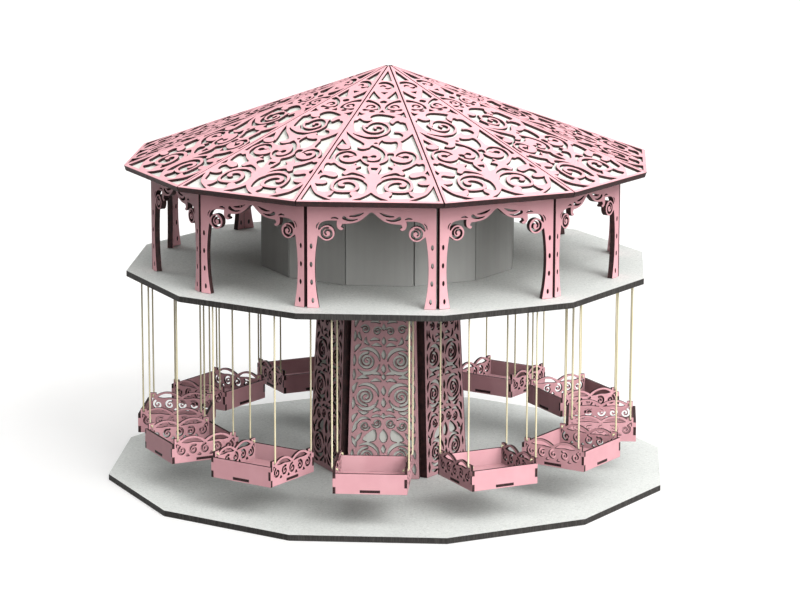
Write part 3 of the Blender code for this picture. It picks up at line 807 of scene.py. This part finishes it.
horn_base = [(-13, 183.8), (-8, 183.6), (-8.6, 181.6), (-12.4, 181.6)]
tip_darts = [
    [(-11.5, 227, 0), (-13.8, 219), (-15.6, 211, 0), (-12, 209), (-8, 208.6),
     (-3.4, 211.4, 0), (-7, 217)],
    [(10.9, 226.8, 0), (6.6, 217.6), (2.8, 211.8, 0), (7.4, 208.8), (11.4, 209),
     (14.6, 211.4, 0), (13, 219)],
    corners((-4.2, 224.4), (3.2, 224.4), (-0.3, 219.9)),
    corners((0.1, 271.3), (-5.5, 250.6), (5.4, 248.6))]
tip_crescent = [
    (-7.5, 242), (-6.9, 245.1), (-4.5, 246.9), (-1.5, 247.4), (2, 246.3), (5.6, 243.4),
    (7.9, 239.8), (8.7, 235.6), (7, 232.6), (6.4, 235.4), (5.6, 238.2), (3.2, 241), (-0.4, 242.6),
    (-4.4, 242.4)]
tip_curls = [
    [(-5.4, 236.6, 1.2), (-3, 238.6, 2.6), (-0.4, 237, 2)],
    [(0.2, 233.4, 1.2), (2.6, 232.2, 2.8), (5, 234, 1.6)]]
horns = [horn, horn_base]
roof.cut(right_rim_cell, right_pocket, spot, left_rim_cell, left_disc_cell, brow, upper_cell, crown)
roof.cut(*rim_darts, oval, *horns, *map(mirrored, horns), *tip_darts, tip_crescent)
roof.draw(upper_volute)
roof.keep(left_disc, small_disc)
roof.cut(small_eye)
roof.groove(small_link, horn_curl, mirrored(horn_curl), *tip_curls)
roof.wood -= ROOF_BURNT_AWAY
print("upper half drawn,", round(100 * float((roof.wood > 0).mean())), "% of the paper is wood")

# %% [markdown]
# One side of the roof is now two boards: a plain cream backing, and the pink sheet glued on it.
# Both lie in the sloping plane of the construction's panel. The other eleven sides share the same
# mesh, turned, which keeps the file small, and a change to the drawing shows on all of them.

# %% Build the roof
def roof_place(u, v, z):
    cosine, sine, sunk = math.cos(ROOF_SLOPE), math.sin(ROOF_SLOPE), ROOF_THICK - z
    return Vector((u, v * cosine + sunk * sine - ROOF_REACH,
                   ROOF_EAVE + v * sine - sunk * cosine)) * MM


def plain_board(name, outline, place, low, high, finishes, worn=0.2):
    """A flat board with a convex outline, given anticlockwise, and slightly worn corners."""
    def shrunk(border):
        """The outline with every side moved in by border."""
        lines = []
        for (u0, v0), (u1, v1) in zip(outline, outline[1:] + outline[:1]):
            span = math.hypot(u1 - u0, v1 - v0)
            lines.append(((v0 - v1) / span, (u1 - u0) / span, u0, v0))
        ring = []
        for (a, b, u0, v0), (c, d, u1, v1) in zip(lines[-1:] + lines[:-1], lines):
            e, f = a * u0 + b * v0 + border, c * u1 + d * v1 + border
            ring.append(((e * d - b * f) / (a * d - b * c), (a * f - e * c) / (a * d - b * c)))
        return ring
    levels = [(worn, low), (0.0, low + worn), (0.0, high - worn), (worn, high)]
    points = [place(u, v, z) for border, z in levels for u, v in shrunk(border)]
    count = len(outline)
    faces = [list(range(count))[::-1], list(range(3 * count, 4 * count))]
    for ring in range(0, 3 * count, count):
        for i in range(count):
            j = (i + 1) % count
            faces.append([ring + i, ring + j, ring + count + j, ring + count + i])
    mesh = new_mesh(name, points, faces, finishes, [0, 0] + [1] * (3 * count))
    mesh.update()
    return mesh


roof_outline = [(-ROOF_HALF, 0.0), (ROOF_HALF, 0.0), (0.0, ROOF_LENGTH)]
roof.trim(roof_outline)
roof.wood = soften(roof.wood, 2)
roof_filled = fill_wood(roof, NEAR_STRAIGHT, WORN)
roof_sheet = board_mesh("roof_scrollwork", roof_filled, roof_place, THIN_BOARD, ROOF_THICK, WORN,
                        [pink_board, pink_cut])
roof_back = plain_board("roof_backing", roof_outline, roof_place, 0.0, THIN_BOARD,
                        [cream_board, pink_cut])
hang_round(("roof_backing", roof_back, "cream_board", "roof_panel"),
           ("roof_scrollwork", roof_sheet, "pink_board", None))
print("a roof side has", len(roof_sheet.polygons), "faces")

# %% [markdown]
# A column panel is the same craft on a tall, tapered board, and it is much closer work: the slots
# are hardly wider than the strokes between them. So here the slots are drawn and the wood is what
# is left. Volutes are true spirals, so a short formula draws them: the radius shrinks evenly while
# the slot turns. Crescents echo each volute, and drops mark the middle line.

# %% Draw the column's scrollwork
COLUMN_SIDES = 6
COLUMN_TALL = 211.4
COLUMN_BOTTOM = THICK_BOARD + JOINT_GAP
COLUMN_FOOT_HALF, COLUMN_TOP_HALF = 37.93, 32.85
COLUMN_BACK_FOOT, COLUMN_BACK_TOP = 66.0, 57.2
COLUMN_BURNT_AWAY = 0.32
SPIRAL_CORE, STEPS_A_TURN = 0.16, 11
POINTED = 0.5


def volute(centre, radius, start, turns, width):
    """A line that curls up in a spiral. Negative turns are clockwise."""
    steps = int(abs(turns) * STEPS_A_TURN)
    rim = radius - width[0] / 2
    line = []
    for step in range(steps + 1):
        t = step / steps
        reach = rim + (SPIRAL_CORE * radius - rim) * t
        line.append((*on_circle(centre, reach, start + 360.0 * turns * t),
                     width[0] + (width[1] - width[0]) * t))
    return line


def crescent(centre, radius, start, end, width):
    """A slot round part of a circle, pointed at both ends."""
    return [(*on_circle(centre, radius, start + (end - start) * step / 8),
             POINTED + (width - POINTED) * math.sin(math.pi * step / 8)) for step in range(9)]


def leaf(start, middle, end, width):
    """A slot bent over its middle, pointed at both ends."""
    return [(*start, POINTED), (*middle, width), (*end, POINTED)]


def drop(v, half_tall, half_wide):
    """A pointed opening on the middle line."""
    return [(0, v + half_tall, 0), (half_wide, v), (0, v - 0.8 * half_tall), (-half_wide, v)]


column = Paper((-40.0, -1.0), (40.0, 213.0), 0.28)
column_slots = []
for centre, radius, start, hand in (((18, 23.6), 10.3, 95, -1), ((18.6, 87), 10.3, -95, 1),
                                    ((17.2, 124.8), 10.1, 95, -1), ((16.4, 186), 9.7, 95, -1)):
    column_slots.append(volute(centre, radius, start, hand * 2.0, (2.3, 2.0)))
    for first, last in ((178, 56), (-164, -42)):
        column_slots.append(crescent(centre, radius + 2.9, first, last, 3.7))
for centre, radius, start, turns in (((19.6, 56), 5.7, 200, 1.5), ((7, 58.8), 5.6, -20, -1.5),
                                     ((19.2, 158.4), 5.4, 30, 1.4), ((6.6, 156.6), 5.1, 150, -1.4)):
    column_slots.append(volute(centre, radius, start, turns, (1.4, 1.2)))
column_slots += [crescent((19.6, 56), 8.4, 132, 12, 2.8), crescent((7, 58.8), 8.2, 124, 50, 2.4)]
# A leaf is its start, its middle, its end and its width.
for u0, v0, u1, v1, u2, v2, width in (
        (33.2, 44.4, 30.6, 38.6, 29, 33.2, 4.5), (33.4, 4.8, 32.6, 10, 32.8, 15.6, 3.8),
        (33.2, 21.6, 32.8, 26, 32.4, 30.4, 3.0), (3.2, 12.6, 7.4, 8, 13, 5.4, 3.5),
        (16.6, 5.2, 22, 4.8, 28, 6.2, 3.0), (23, 48.2, 26.4, 43.6, 28.4, 39.6, 3.5),
        (32.8, 49, 30, 54.4, 28.8, 60.4, 4.1), (32.6, 60, 31.2, 65.4, 27.4, 69, 3.8),
        (3.2, 72.4, 7.6, 73.6, 11, 70.6, 3.4), (16, 70.6, 21, 69.4, 26.6, 72, 3.7),
        (32.4, 74, 31.4, 79.6, 31.8, 86, 3.5), (31.8, 91, 31, 96.6, 27.6, 101.8, 3.8),
        (2.8, 103.4, 8, 105, 13.4, 103, 3.5), (15.8, 106.6, 21.4, 108.2, 27.4, 106, 3.8),
        (31.2, 105, 30.8, 110, 31, 115.6, 3.1), (3, 110, 6.2, 111.8, 10.6, 110.6, 2.9),
        (31, 120, 30.4, 125.6, 30.6, 131.4, 3.1), (30.4, 135, 28, 139.6, 24, 142.6, 3.8),
        (2.6, 140.4, 7.2, 142.4, 12.4, 141.2, 3.5), (15.4, 142, 18.8, 145.2, 18.6, 150, 3.4),
        (4.6, 147.4, 9.6, 148.4, 14, 146.6, 3.0), (23, 147, 25.4, 150.6, 25.8, 155.4, 3.1),
        (30, 146, 29.4, 151, 29.6, 156.4, 3.0), (29.6, 161, 28.6, 166, 25.4, 170, 3.5),
        (4, 165, 8.4, 167.4, 13.6, 166, 3.5), (14.4, 169.6, 19, 170, 22.6, 166.8, 3.1),
        (29.4, 176, 28.8, 182, 29, 189, 3.1), (28.8, 194, 27, 199, 23, 202.6, 3.7),
        (3, 202.4, 8, 204.6, 14, 203.6, 3.5), (16.4, 205.6, 21, 206.8, 27, 205.4, 3.0)):
    column_slots.append(leaf((u0, v0), (u1, v1), (u2, v2), width))
column.groove(*column_slots, *map(mirrored, column_slots))
column_opening = [(9.6, 52), (14.2, 49.4), (19.4, 45), (21.4, 40.6), (15.4, 39), (9.4, 40),
                  (7.4, 44), (7.6, 48.6)]
column.cut(column_opening, mirrored(column_opening))
big_drop = [(0, 52.6, 0), (3.6, 47.4), (4.2, 43), (2.4, 39.4), (0, 38.2)]
column.cut(big_drop + mirrored(big_drop[3:0:-1]))
column.cut(*[drop(v, tall, wide) for v, tall, wide in (
    (8, 3.6, 2.2), (19, 6, 2.5), (31, 5, 2.3), (66.4, 3.6, 1.9), (80.4, 5.4, 2.4), (93, 5.4, 2.3),
    (107.8, 3.6, 2), (116.6, 5, 2.3), (131.4, 5.6, 2.3), (145.8, 4.6, 2.1), (160.6, 3.8, 1.8),
    (177, 5.6, 2.3), (192, 5.6, 2.3))])
column.wood -= COLUMN_BURNT_AWAY
print("column drawn,", len(column_slots), "slots to a side")

# %% [markdown]
# The column stands as six leaning boards. Each has a thick backing, and its scrollwork stops short
# of the next one at the corners, where the backings' sawn edges show as dark upright lines.

# %% Build the column
def column_place(u, v, z):
    lean = (COLUMN_BACK_FOOT - COLUMN_BACK_TOP) * v / COLUMN_TALL
    return Vector((u, lean - COLUMN_BACK_FOOT - z, COLUMN_BOTTOM + v)) * MM


column_outline = [(-COLUMN_FOOT_HALF, 0.0), (COLUMN_FOOT_HALF, 0.0),
                  (COLUMN_TOP_HALF, COLUMN_TALL), (-COLUMN_TOP_HALF, COLUMN_TALL)]
column.trim(column_outline)
column.wood = soften(column.wood, 2)
column_filled = fill_wood(column, NEAR_STRAIGHT, WORN)
# The scrollwork's paint has painted shade in it, for the shadow of the deck over the column.
column_sheet = board_mesh("column_scrollwork", column_filled, column_place, THICK_BOARD,
                          THICK_BOARD + THIN_BOARD, WORN, [shaded_pink_board, pink_cut])
column_back = plain_board("column_backing", column_outline, column_place, 0.0, THICK_BOARD,
                          [cream_board, pink_cut])
hang_round(("column_backing", column_back, "cream_board", "column_panel"),
           ("column_scrollwork", column_sheet, "pink_board", None), sides=COLUMN_SIDES)
print("a column side has", len(column_sheet.polygons), "faces")

# %% [markdown]
# The arcade is one board a side: two splayed legs, a volute where each leg meets the spandrel, a
# hooked leaf and an ogee arch. Its outline is the same as the construction's. Only the piercings
# are new: ovals down the legs, the spiral slot of each volute, and leaf slits along the lintel.

# %% Draw the arcade
ARCADE_CORNER = 251.3
ARCADE_FACE = ARCADE_CORNER * math.cos(SIDE_ANGLE / 2)
ARCADE_HALF = (ARCADE_FACE - THICK_BOARD) * HALF_SIDE - JOINT_GAP / 2
ARCADE_TALL = (ROOF_EAVE + (ROOF_REACH - ARCADE_FACE) * math.tan(ROOF_SLOPE)
               - ROOF_THICK / math.cos(ROOF_SLOPE) - DECK_TOP - 2 * JOINT_GAP)
VOLUTE_CENTRE, VOLUTE_RADIUS = (43.9, 74.8), 7.7
LEG_FOOT, LEG_SPLAY, LEG_BOW, LEG_TALL = 51.5, 1.3, 3.5, 72.0
arcade = Paper((-65.0, -2.0), (65.0, 115.0), 0.28)


def ring_points(centre, radius, start, end, steps):
    """Points round part of a circle, angles in degrees."""
    return [on_circle(centre, radius, start + (end - start) * step / steps)
            for step in range(steps + 1)]


def bowed(t, height):
    """The height of a shallow bow of this height, at t from 0 to 1 along it."""
    return 4 * t * (1 - t) * height


leg = [(LEG_FOOT + LEG_SPLAY * t + bowed(t, LEG_BOW), LEG_TALL * t)
       for t in (0.16, 0.33, 0.5, 0.67, 0.84)]
spandrel = [(51.9, 77.6), (52.2, 80.6), (50.2, 84.2), (46.4, 86.4), (41, 87.2), (34, 87.2, 0)]
leaf_hook = [(34.4, 83.4), (33.2, 79.6), (29.8, 77.8), (27.6, 79.6), (30, 81.2), (28.6, 84, 0)]
ogee = [(23, 84.3), (17, 85.2), (11, 87.6), (6, 91.4), (2.2, 94.8)]
arch_right = [(LEG_FOOT, -3, 0), (LEG_FOOT, 0)] + leg + [(LEG_FOOT + LEG_SPLAY, LEG_TALL, 0)]
arch_right += ring_points(VOLUTE_CENTRE, VOLUTE_RADIUS, -24, -315, 16)[1:]
arch_right += spandrel + leaf_hook + ogee
arcade.cut(arch_right + [(0, 95.8, 0)] + mirrored(arch_right[::-1]))
arcade_holes = [
    [(u + 1.25 * math.cos(angle), v + 2.6 * math.sin(angle))
     for angle in (step * math.pi / 4 for step in range(8))]
    for u, v in ((59.4, 61.5), (59.5, 43.3), (59.0, 25.5), (57.8, 7.3))]
arcade_slots = [
    [(*on_circle(VOLUTE_CENTRE, radius, degrees), width) for radius, degrees, width in (
        (5.6, 110, 0.8), (5.3, 70, 1.8), (5.1, 20, 2.3), (5.0, -35, 2.4), (5.0, -90, 2.4),
        (4.8, -145, 2.4), (4.3, -200, 2.2), (3.3, -255, 2.0), (2.3, -310, 1.8),
        (1.7, -370, 1.6), (1.6, -420, 1.4))],
    leaf((54.2, 79.4), (53.6, 82.4), (51.4, 85.2), 1.2),
    [(39.6, 89.6, 0.6), (36, 90.2, 1.7), (32.8, 89, 0.6)],
    [(27, 90, 3.5), (23.4, 88.2, 2.3), (18.6, 87.7, 1.6), (14, 88.8, 0.6)],
    [(22, 91.8, 0.6), (17.6, 92, 1.9), (12.4, 93.2, 2.1), (8, 95.2, 0.6)]]
arcade.cut(*arcade_holes, *map(mirrored, arcade_holes))
arcade.groove(*arcade_slots, *map(mirrored, arcade_slots))
print("arcade drawn,", round(2 * ARCADE_HALF, 1), "by", round(ARCADE_TALL, 1), "mm")

# %% [markdown]
# Each basket is five boards with finger joints: a floor, two plain long walls, and two ends whose
# tops rise into a pair of arches between square ears. Five pierced volutes run along an end.

# %% Draw the basket's end
BASKET_HALF = 37.0
BASKET_INSIDE = BASKET_HALF - THIN_BOARD
BASKET_BOTTOM = 41.5
WALL_HIGH = 20.5
EAR_INSIDE, EAR_MIDDLE = 27.5, 30.75
EAR_HOLE = 64.9
basket_end = Paper((-38.0, -1.0), (38.0, 29.0), 0.2)
arch_back = [(EAR_INSIDE * (1 - t), 23.5 - 1.5 * t + bowed(t, 4.45))
             for t in (0.12, 0.25, 0.38, 0.5, 0.62, 0.75, 0.88)]
end_sky = corners((40, 30), (40, WALL_HIGH), (34, WALL_HIGH), (34, 26), (EAR_INSIDE, 26),
                  (EAR_INSIDE, 23.5)) + arch_back
basket_end.cut(end_sky + [(0, 22, 0)] + mirrored(end_sky[::-1]))
ear_hole = ring_points((EAR_MIDDLE, EAR_HOLE - BASKET_BOTTOM), 1.3, 180, -90, 3)
basket_end.cut(ear_hole, mirrored(ear_hole))
end_crescent = [(26.2, 21, 0), (21.6, 23.9), (17.4, 25.1), (13.4, 25.1), (8.6, 24), (5, 22.2),
                (1.8, 19.6, 0), (7, 19.9), (13, 20.6), (20, 20.1)]
end_wedge = [(21.9, 6.6, 0), (19.5, 9.4), (17.1, 6.6, 0), (19.5, 6.1)]
end_wedges = [[(u - shift, *rest) for u, *rest in end_wedge] for shift in (0, 13)]
basket_end.cut(end_crescent, mirrored(end_crescent), *end_wedges, *map(mirrored, end_wedges))
end_slots = [[(29.2, 18.4, 0.6), (31.6, 19.8, 1.5), (32, 16.6, 0.7)]]
for middle, start, hand in ((0, 90, 1), (13, 115, -1), (26, 60, -1)):
    end_slots.append(volute((middle, 12.9), 6.1, start, hand * 1.25, (2.4, 1.9)))
basket_end.groove(*end_slots, *(mirrored(slot) for slot in end_slots if slot[-1][0] > 2))
print("basket end drawn,", len(end_slots), "slots")

# %% [markdown]
# The arcade is seen from both sides, through its own openings, so its boards are closed meshes
# with paint on both faces and a burnt wall all the way round every opening.

# %% Build the arcade
def arcade_place(u, v, z):
    return Vector((u, THICK_BOARD - z - ARCADE_FACE, DECK_TOP + JOINT_GAP + v)) * MM


arcade.trim(box(-ARCADE_HALF, 0.0, ARCADE_HALF, ARCADE_TALL))
arcade.wood = soften(arcade.wood, 1)
arcade_filled = fill_wood(arcade, 0.04, WORN)
arcade_board = board_mesh("arcade_board", arcade_filled, arcade_place, 0.0, THICK_BOARD, WORN,
                          [pink_board, pink_cut], True)
hang_round(("arcade", arcade_board, "pink_board", "arcade_panel"))
print("an arcade side has", len(arcade_board.polygons), "faces")

# %% [markdown]
# A basket's long walls and floor are plain boards with tabs and slots, small enough to draw on the
# same squared paper. Each corner is a finger joint: a tab of one board goes right through its
# neighbour and shows there as a dark patch of end grain.

# %% Draw the basket's plain boards
TAB_LOW, TAB_HIGH = 6.8, 15.6
FLOOR_LOW = 1.2
SLOT_HALF = 10.0
BEYOND = 40.0


def jointed(paper, tall):
    """Cuts a wall's two ends, a tab on the left and a notch on the right, and the floor's slot."""
    paper.cut(box(-BEYOND, -3, -BASKET_INSIDE, TAB_LOW),
              box(-BEYOND, TAB_HIGH, -BASKET_INSIDE, BEYOND),
              box(BASKET_INSIDE, TAB_LOW, BEYOND, TAB_HIGH),
              box(-SLOT_HALF, FLOOR_LOW, SLOT_HALF, FLOOR_LOW + THIN_BOARD))
    paper.trim(box(-BASKET_HALF, 0, BASKET_HALF, tall))


basket_wall = Paper((-38.0, -1.0), (38.0, 22.0), 0.25)
jointed(basket_wall, WALL_HIGH)
jointed(basket_end, 30)
basket_floor = Paper((-38.0, -38.0), (38.0, 38.0), 0.5)
basket_floor.trim(box(-BASKET_HALF, -BASKET_HALF, BASKET_HALF, BASKET_HALF))
for turn in range(4):
    for low, high in ((-BEYOND, -SLOT_HALF), (SLOT_HALF, BEYOND)):
        strip = box(low, -BEYOND, high, -BASKET_INSIDE)
        for _ in range(turn):
            strip = [(-v, u, sharp) for u, v, sharp in strip]
        basket_floor.cut(strip)
print("basket boards drawn")

# %% [markdown]
# The five boards are put together in one mesh for a basket. The left end and the near wall are
# drawn once, and the other two are the same boards turned half way round.

# %% Build the baskets
BASKET_OUTSIDE = 264.0
BASKET_MIDDLE = BASKET_OUTSIDE - BASKET_HALF
BASKET_STRAIGHT = 0.03
BASKET_WORN = 0.15


def join_meshes(name, meshes):
    """One mesh from several."""
    holders = [bpy.data.objects.new("part", mesh) for mesh in meshes]
    for holder in holders:
        scene.collection.objects.link(holder)
    with bpy.context.temp_override(active_object=holders[0], object=holders[0],
                                   selected_objects=holders, selected_editable_objects=holders):
        bpy.ops.object.join()
    mesh = holders[0].data
    bpy.data.objects.remove(holders[0])
    mesh.name = name
    return mesh


def in_basket(x, y, z):
    """A point of the first basket, measured from the middle of its underside."""
    return Vector((x, y - BASKET_MIDDLE, BASKET_BOTTOM + z)) * MM


wall_filled, end_filled, floor_filled = (
    fill_wood(paper, BASKET_STRAIGHT, BASKET_WORN)
    for paper in (basket_wall, basket_end, basket_floor))
basket_mesh = join_meshes("basket_boards", [
    board_mesh("board", filled, place, 0.0, THIN_BOARD, BASKET_WORN, [pink_board, pink_cut], True)
    for filled, place in (
        (wall_filled, lambda u, v, z: in_basket(u, z - BASKET_HALF, v)),
        (end_filled, lambda u, v, z: in_basket(z - BASKET_HALF, -u, v)),
        (wall_filled, lambda u, v, z: in_basket(-u, BASKET_HALF - z, v)),
        (end_filled, lambda u, v, z: in_basket(BASKET_HALF - z, u, v)),
        (floor_filled, lambda u, v, z: in_basket(u, v, FLOOR_LOW + z)))])
hang_round(("basket_boards", basket_mesh, "pink_board", "basket"))
print("a basket has", len(basket_mesh.polygons), "faces")

# %% [markdown]
# Four lengths of cream twine carry each basket. Twine is three strands laid round each other, so
# its section has three round lobes, and the section turns as it goes down. The twine is taut: it
# hangs dead straight from the deck, turns in through the hole of the ear, and ends in a knot.

# %% Twine finish
def twine_fibre():
    fuzz = noise(2600.0, stretch=(1.0, 1.0, 0.3), roughness=0.6)
    stain = noise(60.0, 2.0)
    # groove is 1 in the hollows between the strands, and the fibre is darkened there as painted
    # shade.
    groove = Shade.node("Attribute", {"attribute_name": "groove"}, out="Fac")
    fibre = mix(stain.clamp(0.3, 0.7), (0.90, 0.82, 0.55), (0.96, 0.90, 0.68))
    fibre = mix(fuzz.clamp(0.5, 0.75) * 0.3, fibre, (0.78, 0.66, 0.42))
    return {
        "Base Color": mix(groove.clamp(0.2, 1.0) * 0.45, fibre, (0.62, 0.50, 0.28)),
        "Roughness": 0.75 + 0.2 * fuzz,
        "Normal": bump(fuzz, 0.4, 0.0002),
        "Specular IOR Level": 0.2,
    }


cream_twine = finish("cream_twine", twine_fibre)

# %% [markdown]
# The twine is swept along its route ring by ring. Each ring stays square to the route and turns a
# little further than the one before it, and that is what lays the strands round each other.

# %% Build the twine
TWINE_RADIUS = 1.0
TWINE_PITCH = 9.0
TWINE_AROUND = 9
TWINE_SPACING = 1.15
TWINE_OUT = BASKET_HALF + TWINE_RADIUS
KNOT_RADIUS = 0.6
LOBE_CENTRE, LOBE_DEPTH = 0.88, 0.12


def twine_mesh(route):
    """A three-strand twine along a route of (point, width factor) in millimetres."""
    places, widths = [], []
    for (a, wa), (b, wb) in zip(route, route[1:]):
        steps = max(1, round((b - a).length / TWINE_SPACING))
        for step in range(steps):
            places.append(a.lerp(b, step / steps))
            widths.append(wa + (wb - wa) * step / steps)
    places.append(route[-1][0])
    widths.append(route[-1][1])
    points, faces, groove, travelled = [], [], [], 0.0
    side = Vector((1.0, 0.0, 0.0))
    for index, place in enumerate(places):
        ahead = places[min(index + 1, len(places) - 1)] - places[max(index - 1, 0)]
        ahead.normalize()
        if abs(side.dot(ahead)) < 0.98:
            side = (side - ahead * side.dot(ahead)).normalized()
        else:
            side = Vector((0, 0, 1))
        other = ahead.cross(side)
        if index:
            travelled += (place - places[index - 1]).length
        for step in range(TWINE_AROUND):
            angle = 2.0 * math.pi * step / TWINE_AROUND
            lobe = math.cos(3.0 * (angle - 2.0 * math.pi * travelled / TWINE_PITCH))
            reach = TWINE_RADIUS * widths[index] * (LOBE_CENTRE + LOBE_DEPTH * lobe)
            points.append((place + side * math.cos(angle) * reach
                           + other * math.sin(angle) * reach) * MM)
            # 1 in the hollow between strands, where the twine's finish paints shade.
            groove.append(0.5 - 0.5 * lobe)
    last = len(points) - TWINE_AROUND
    for ring in range(0, last, TWINE_AROUND):
        for step in range(TWINE_AROUND):
            after = (step + 1) % TWINE_AROUND
            faces.append([ring + step, ring + after,
                          ring + TWINE_AROUND + after, ring + TWINE_AROUND + step])
    faces += [list(range(TWINE_AROUND))[::-1], list(range(last, len(points)))]
    mesh = new_mesh("twine", points, faces, [cream_twine])
    mesh.attributes.new("groove", "FLOAT", "POINT").data.foreach_set("value", groove)
    mesh.shade_smooth()
    return mesh


def twine_route(side, end):
    """From the deck down to the ear, in through its hole, and round a knot."""
    # Each stop is how far out it is, how far from the hole along the end and upwards, and how
    # thick the twine is there.
    stops = [(TWINE_OUT, 0.0, DECK_BOTTOM - JOINT_GAP - EAR_HOLE, 1.0), (TWINE_OUT, 0.0, 2.2, 1.0),
             (37.8, 0.0, 0.9, 0.95), (37.2, 0.0, 0.2, 0.9), (36.2, 0.0, 0.0, 0.9),
             (33.8, 0.0, 0.0, 0.9)]
    for step in range(13):
        angle = math.radians(-60 + step * 40)
        stops.append((33.3 - 0.06 * step, KNOT_RADIUS * math.cos(angle),
                      KNOT_RADIUS * math.sin(angle), 0.62))
    stops += [(32.3, -0.2, -0.9, 0.5), (32.2, -0.3, -1.7, 0.6)]
    return [(Vector((side * out, end * (EAR_MIDDLE + along) - BASKET_MIDDLE, EAR_HOLE + up)), width)
            for out, along, up, width in stops]


basket_twine = join_meshes("basket_twine", [
    twine_mesh(twine_route(side, end)) for side in (-1, 1) for end in (-1, 1)])
hang_round(("basket_twine", basket_twine, "twine", None))
print("a basket's twine has", len(basket_twine.polygons), "faces")

# %% [markdown]
# The two plates and the drum have the right shape already, so they keep their construction mesh
# and only get a finish. The drum is a grey board with faint upright brush marks, and the
# sawn tops of its twelve walls are found again from the direction of the face.

# %% Drum finish
def drum_board():
    sawn_top = facing_up()
    clouds = noise(14.0)
    brush = noise(180.0, stretch=(1.0, 1.0, 0.06))
    specks = noise(1400.0, 2.0)
    grey = mix(clouds.clamp(0.3, 0.7), (0.33, 0.335, 0.325), (0.36, 0.365, 0.355))
    grey = mix(brush.clamp(0.3, 0.7) * 0.12, grey, (0.22, 0.22, 0.215))
    grey = mix(specks.clamp(0.6, 0.8) * 0.2, grey, (0.46, 0.46, 0.45))
    return {
        "Base Color": mix(sawn_top, grey, (0.03, 0.028, 0.026)),
        "Roughness": 0.62 + 0.2 * brush,
        "Normal": bump(brush * 0.3 + specks * 0.7, 0.2, 0.0002),
        "Specular IOR Level": 0.35,
    }


grey_board = finish("brushed_grey", drum_board)
for node, coat in (("base_plate", pale_board), ("deck_plate", pale_board), ("drum", grey_board)):
    for slot in frame["nodes"][node].material_slots:
        slot.material = coat
print("plates and drum finished")

# %% [markdown]
# The floor is a big sheet of white acrylic with a light under it, as a product table has. Its own
# glow keeps it white in the shade of the carousel, and its slight gloss gives the base a soft
# reflection. It isn't part of the carousel: it is stage. So much white would also light the
# carousel from below and take the depth out of its shade, so the floor is hidden from diffuse
# light. So are the base and the baskets, or their glow would wash out the shade between them.

# %% Floor
def studio_white():
    dust = noise(25.0, 2.0)
    return {
        "Base Color": mix(dust, (0.60, 0.60, 0.60), (0.62, 0.62, 0.62)),
        "Roughness": 0.3 + 0.06 * dust,
        "Emission Color": mix(dust, (0.99, 0.99, 0.99), (1.0, 1.0, 1.0)),
        "Emission Strength": 0.38,
    }


FLOOR_HALF, FLOOR_SUNK = 9.0, 0.0003
floor_corners = [(x * FLOOR_HALF, y * FLOOR_HALF, -FLOOR_SUNK)
                 for x, y in ((-1, -1), (1, -1), (1, 1), (-1, 1))]
floor_mesh = new_mesh("floor", floor_corners, [(0, 1, 2, 3)],
                      [finish("studio_white", studio_white)])
floor = bpy.data.objects.new("floor", floor_mesh)
scene.collection.objects.link(floor)
for piece in scene.objects:
    if piece.name.startswith(("floor", "base_plate", "basket_boards")):
        piece.visible_diffuse = False
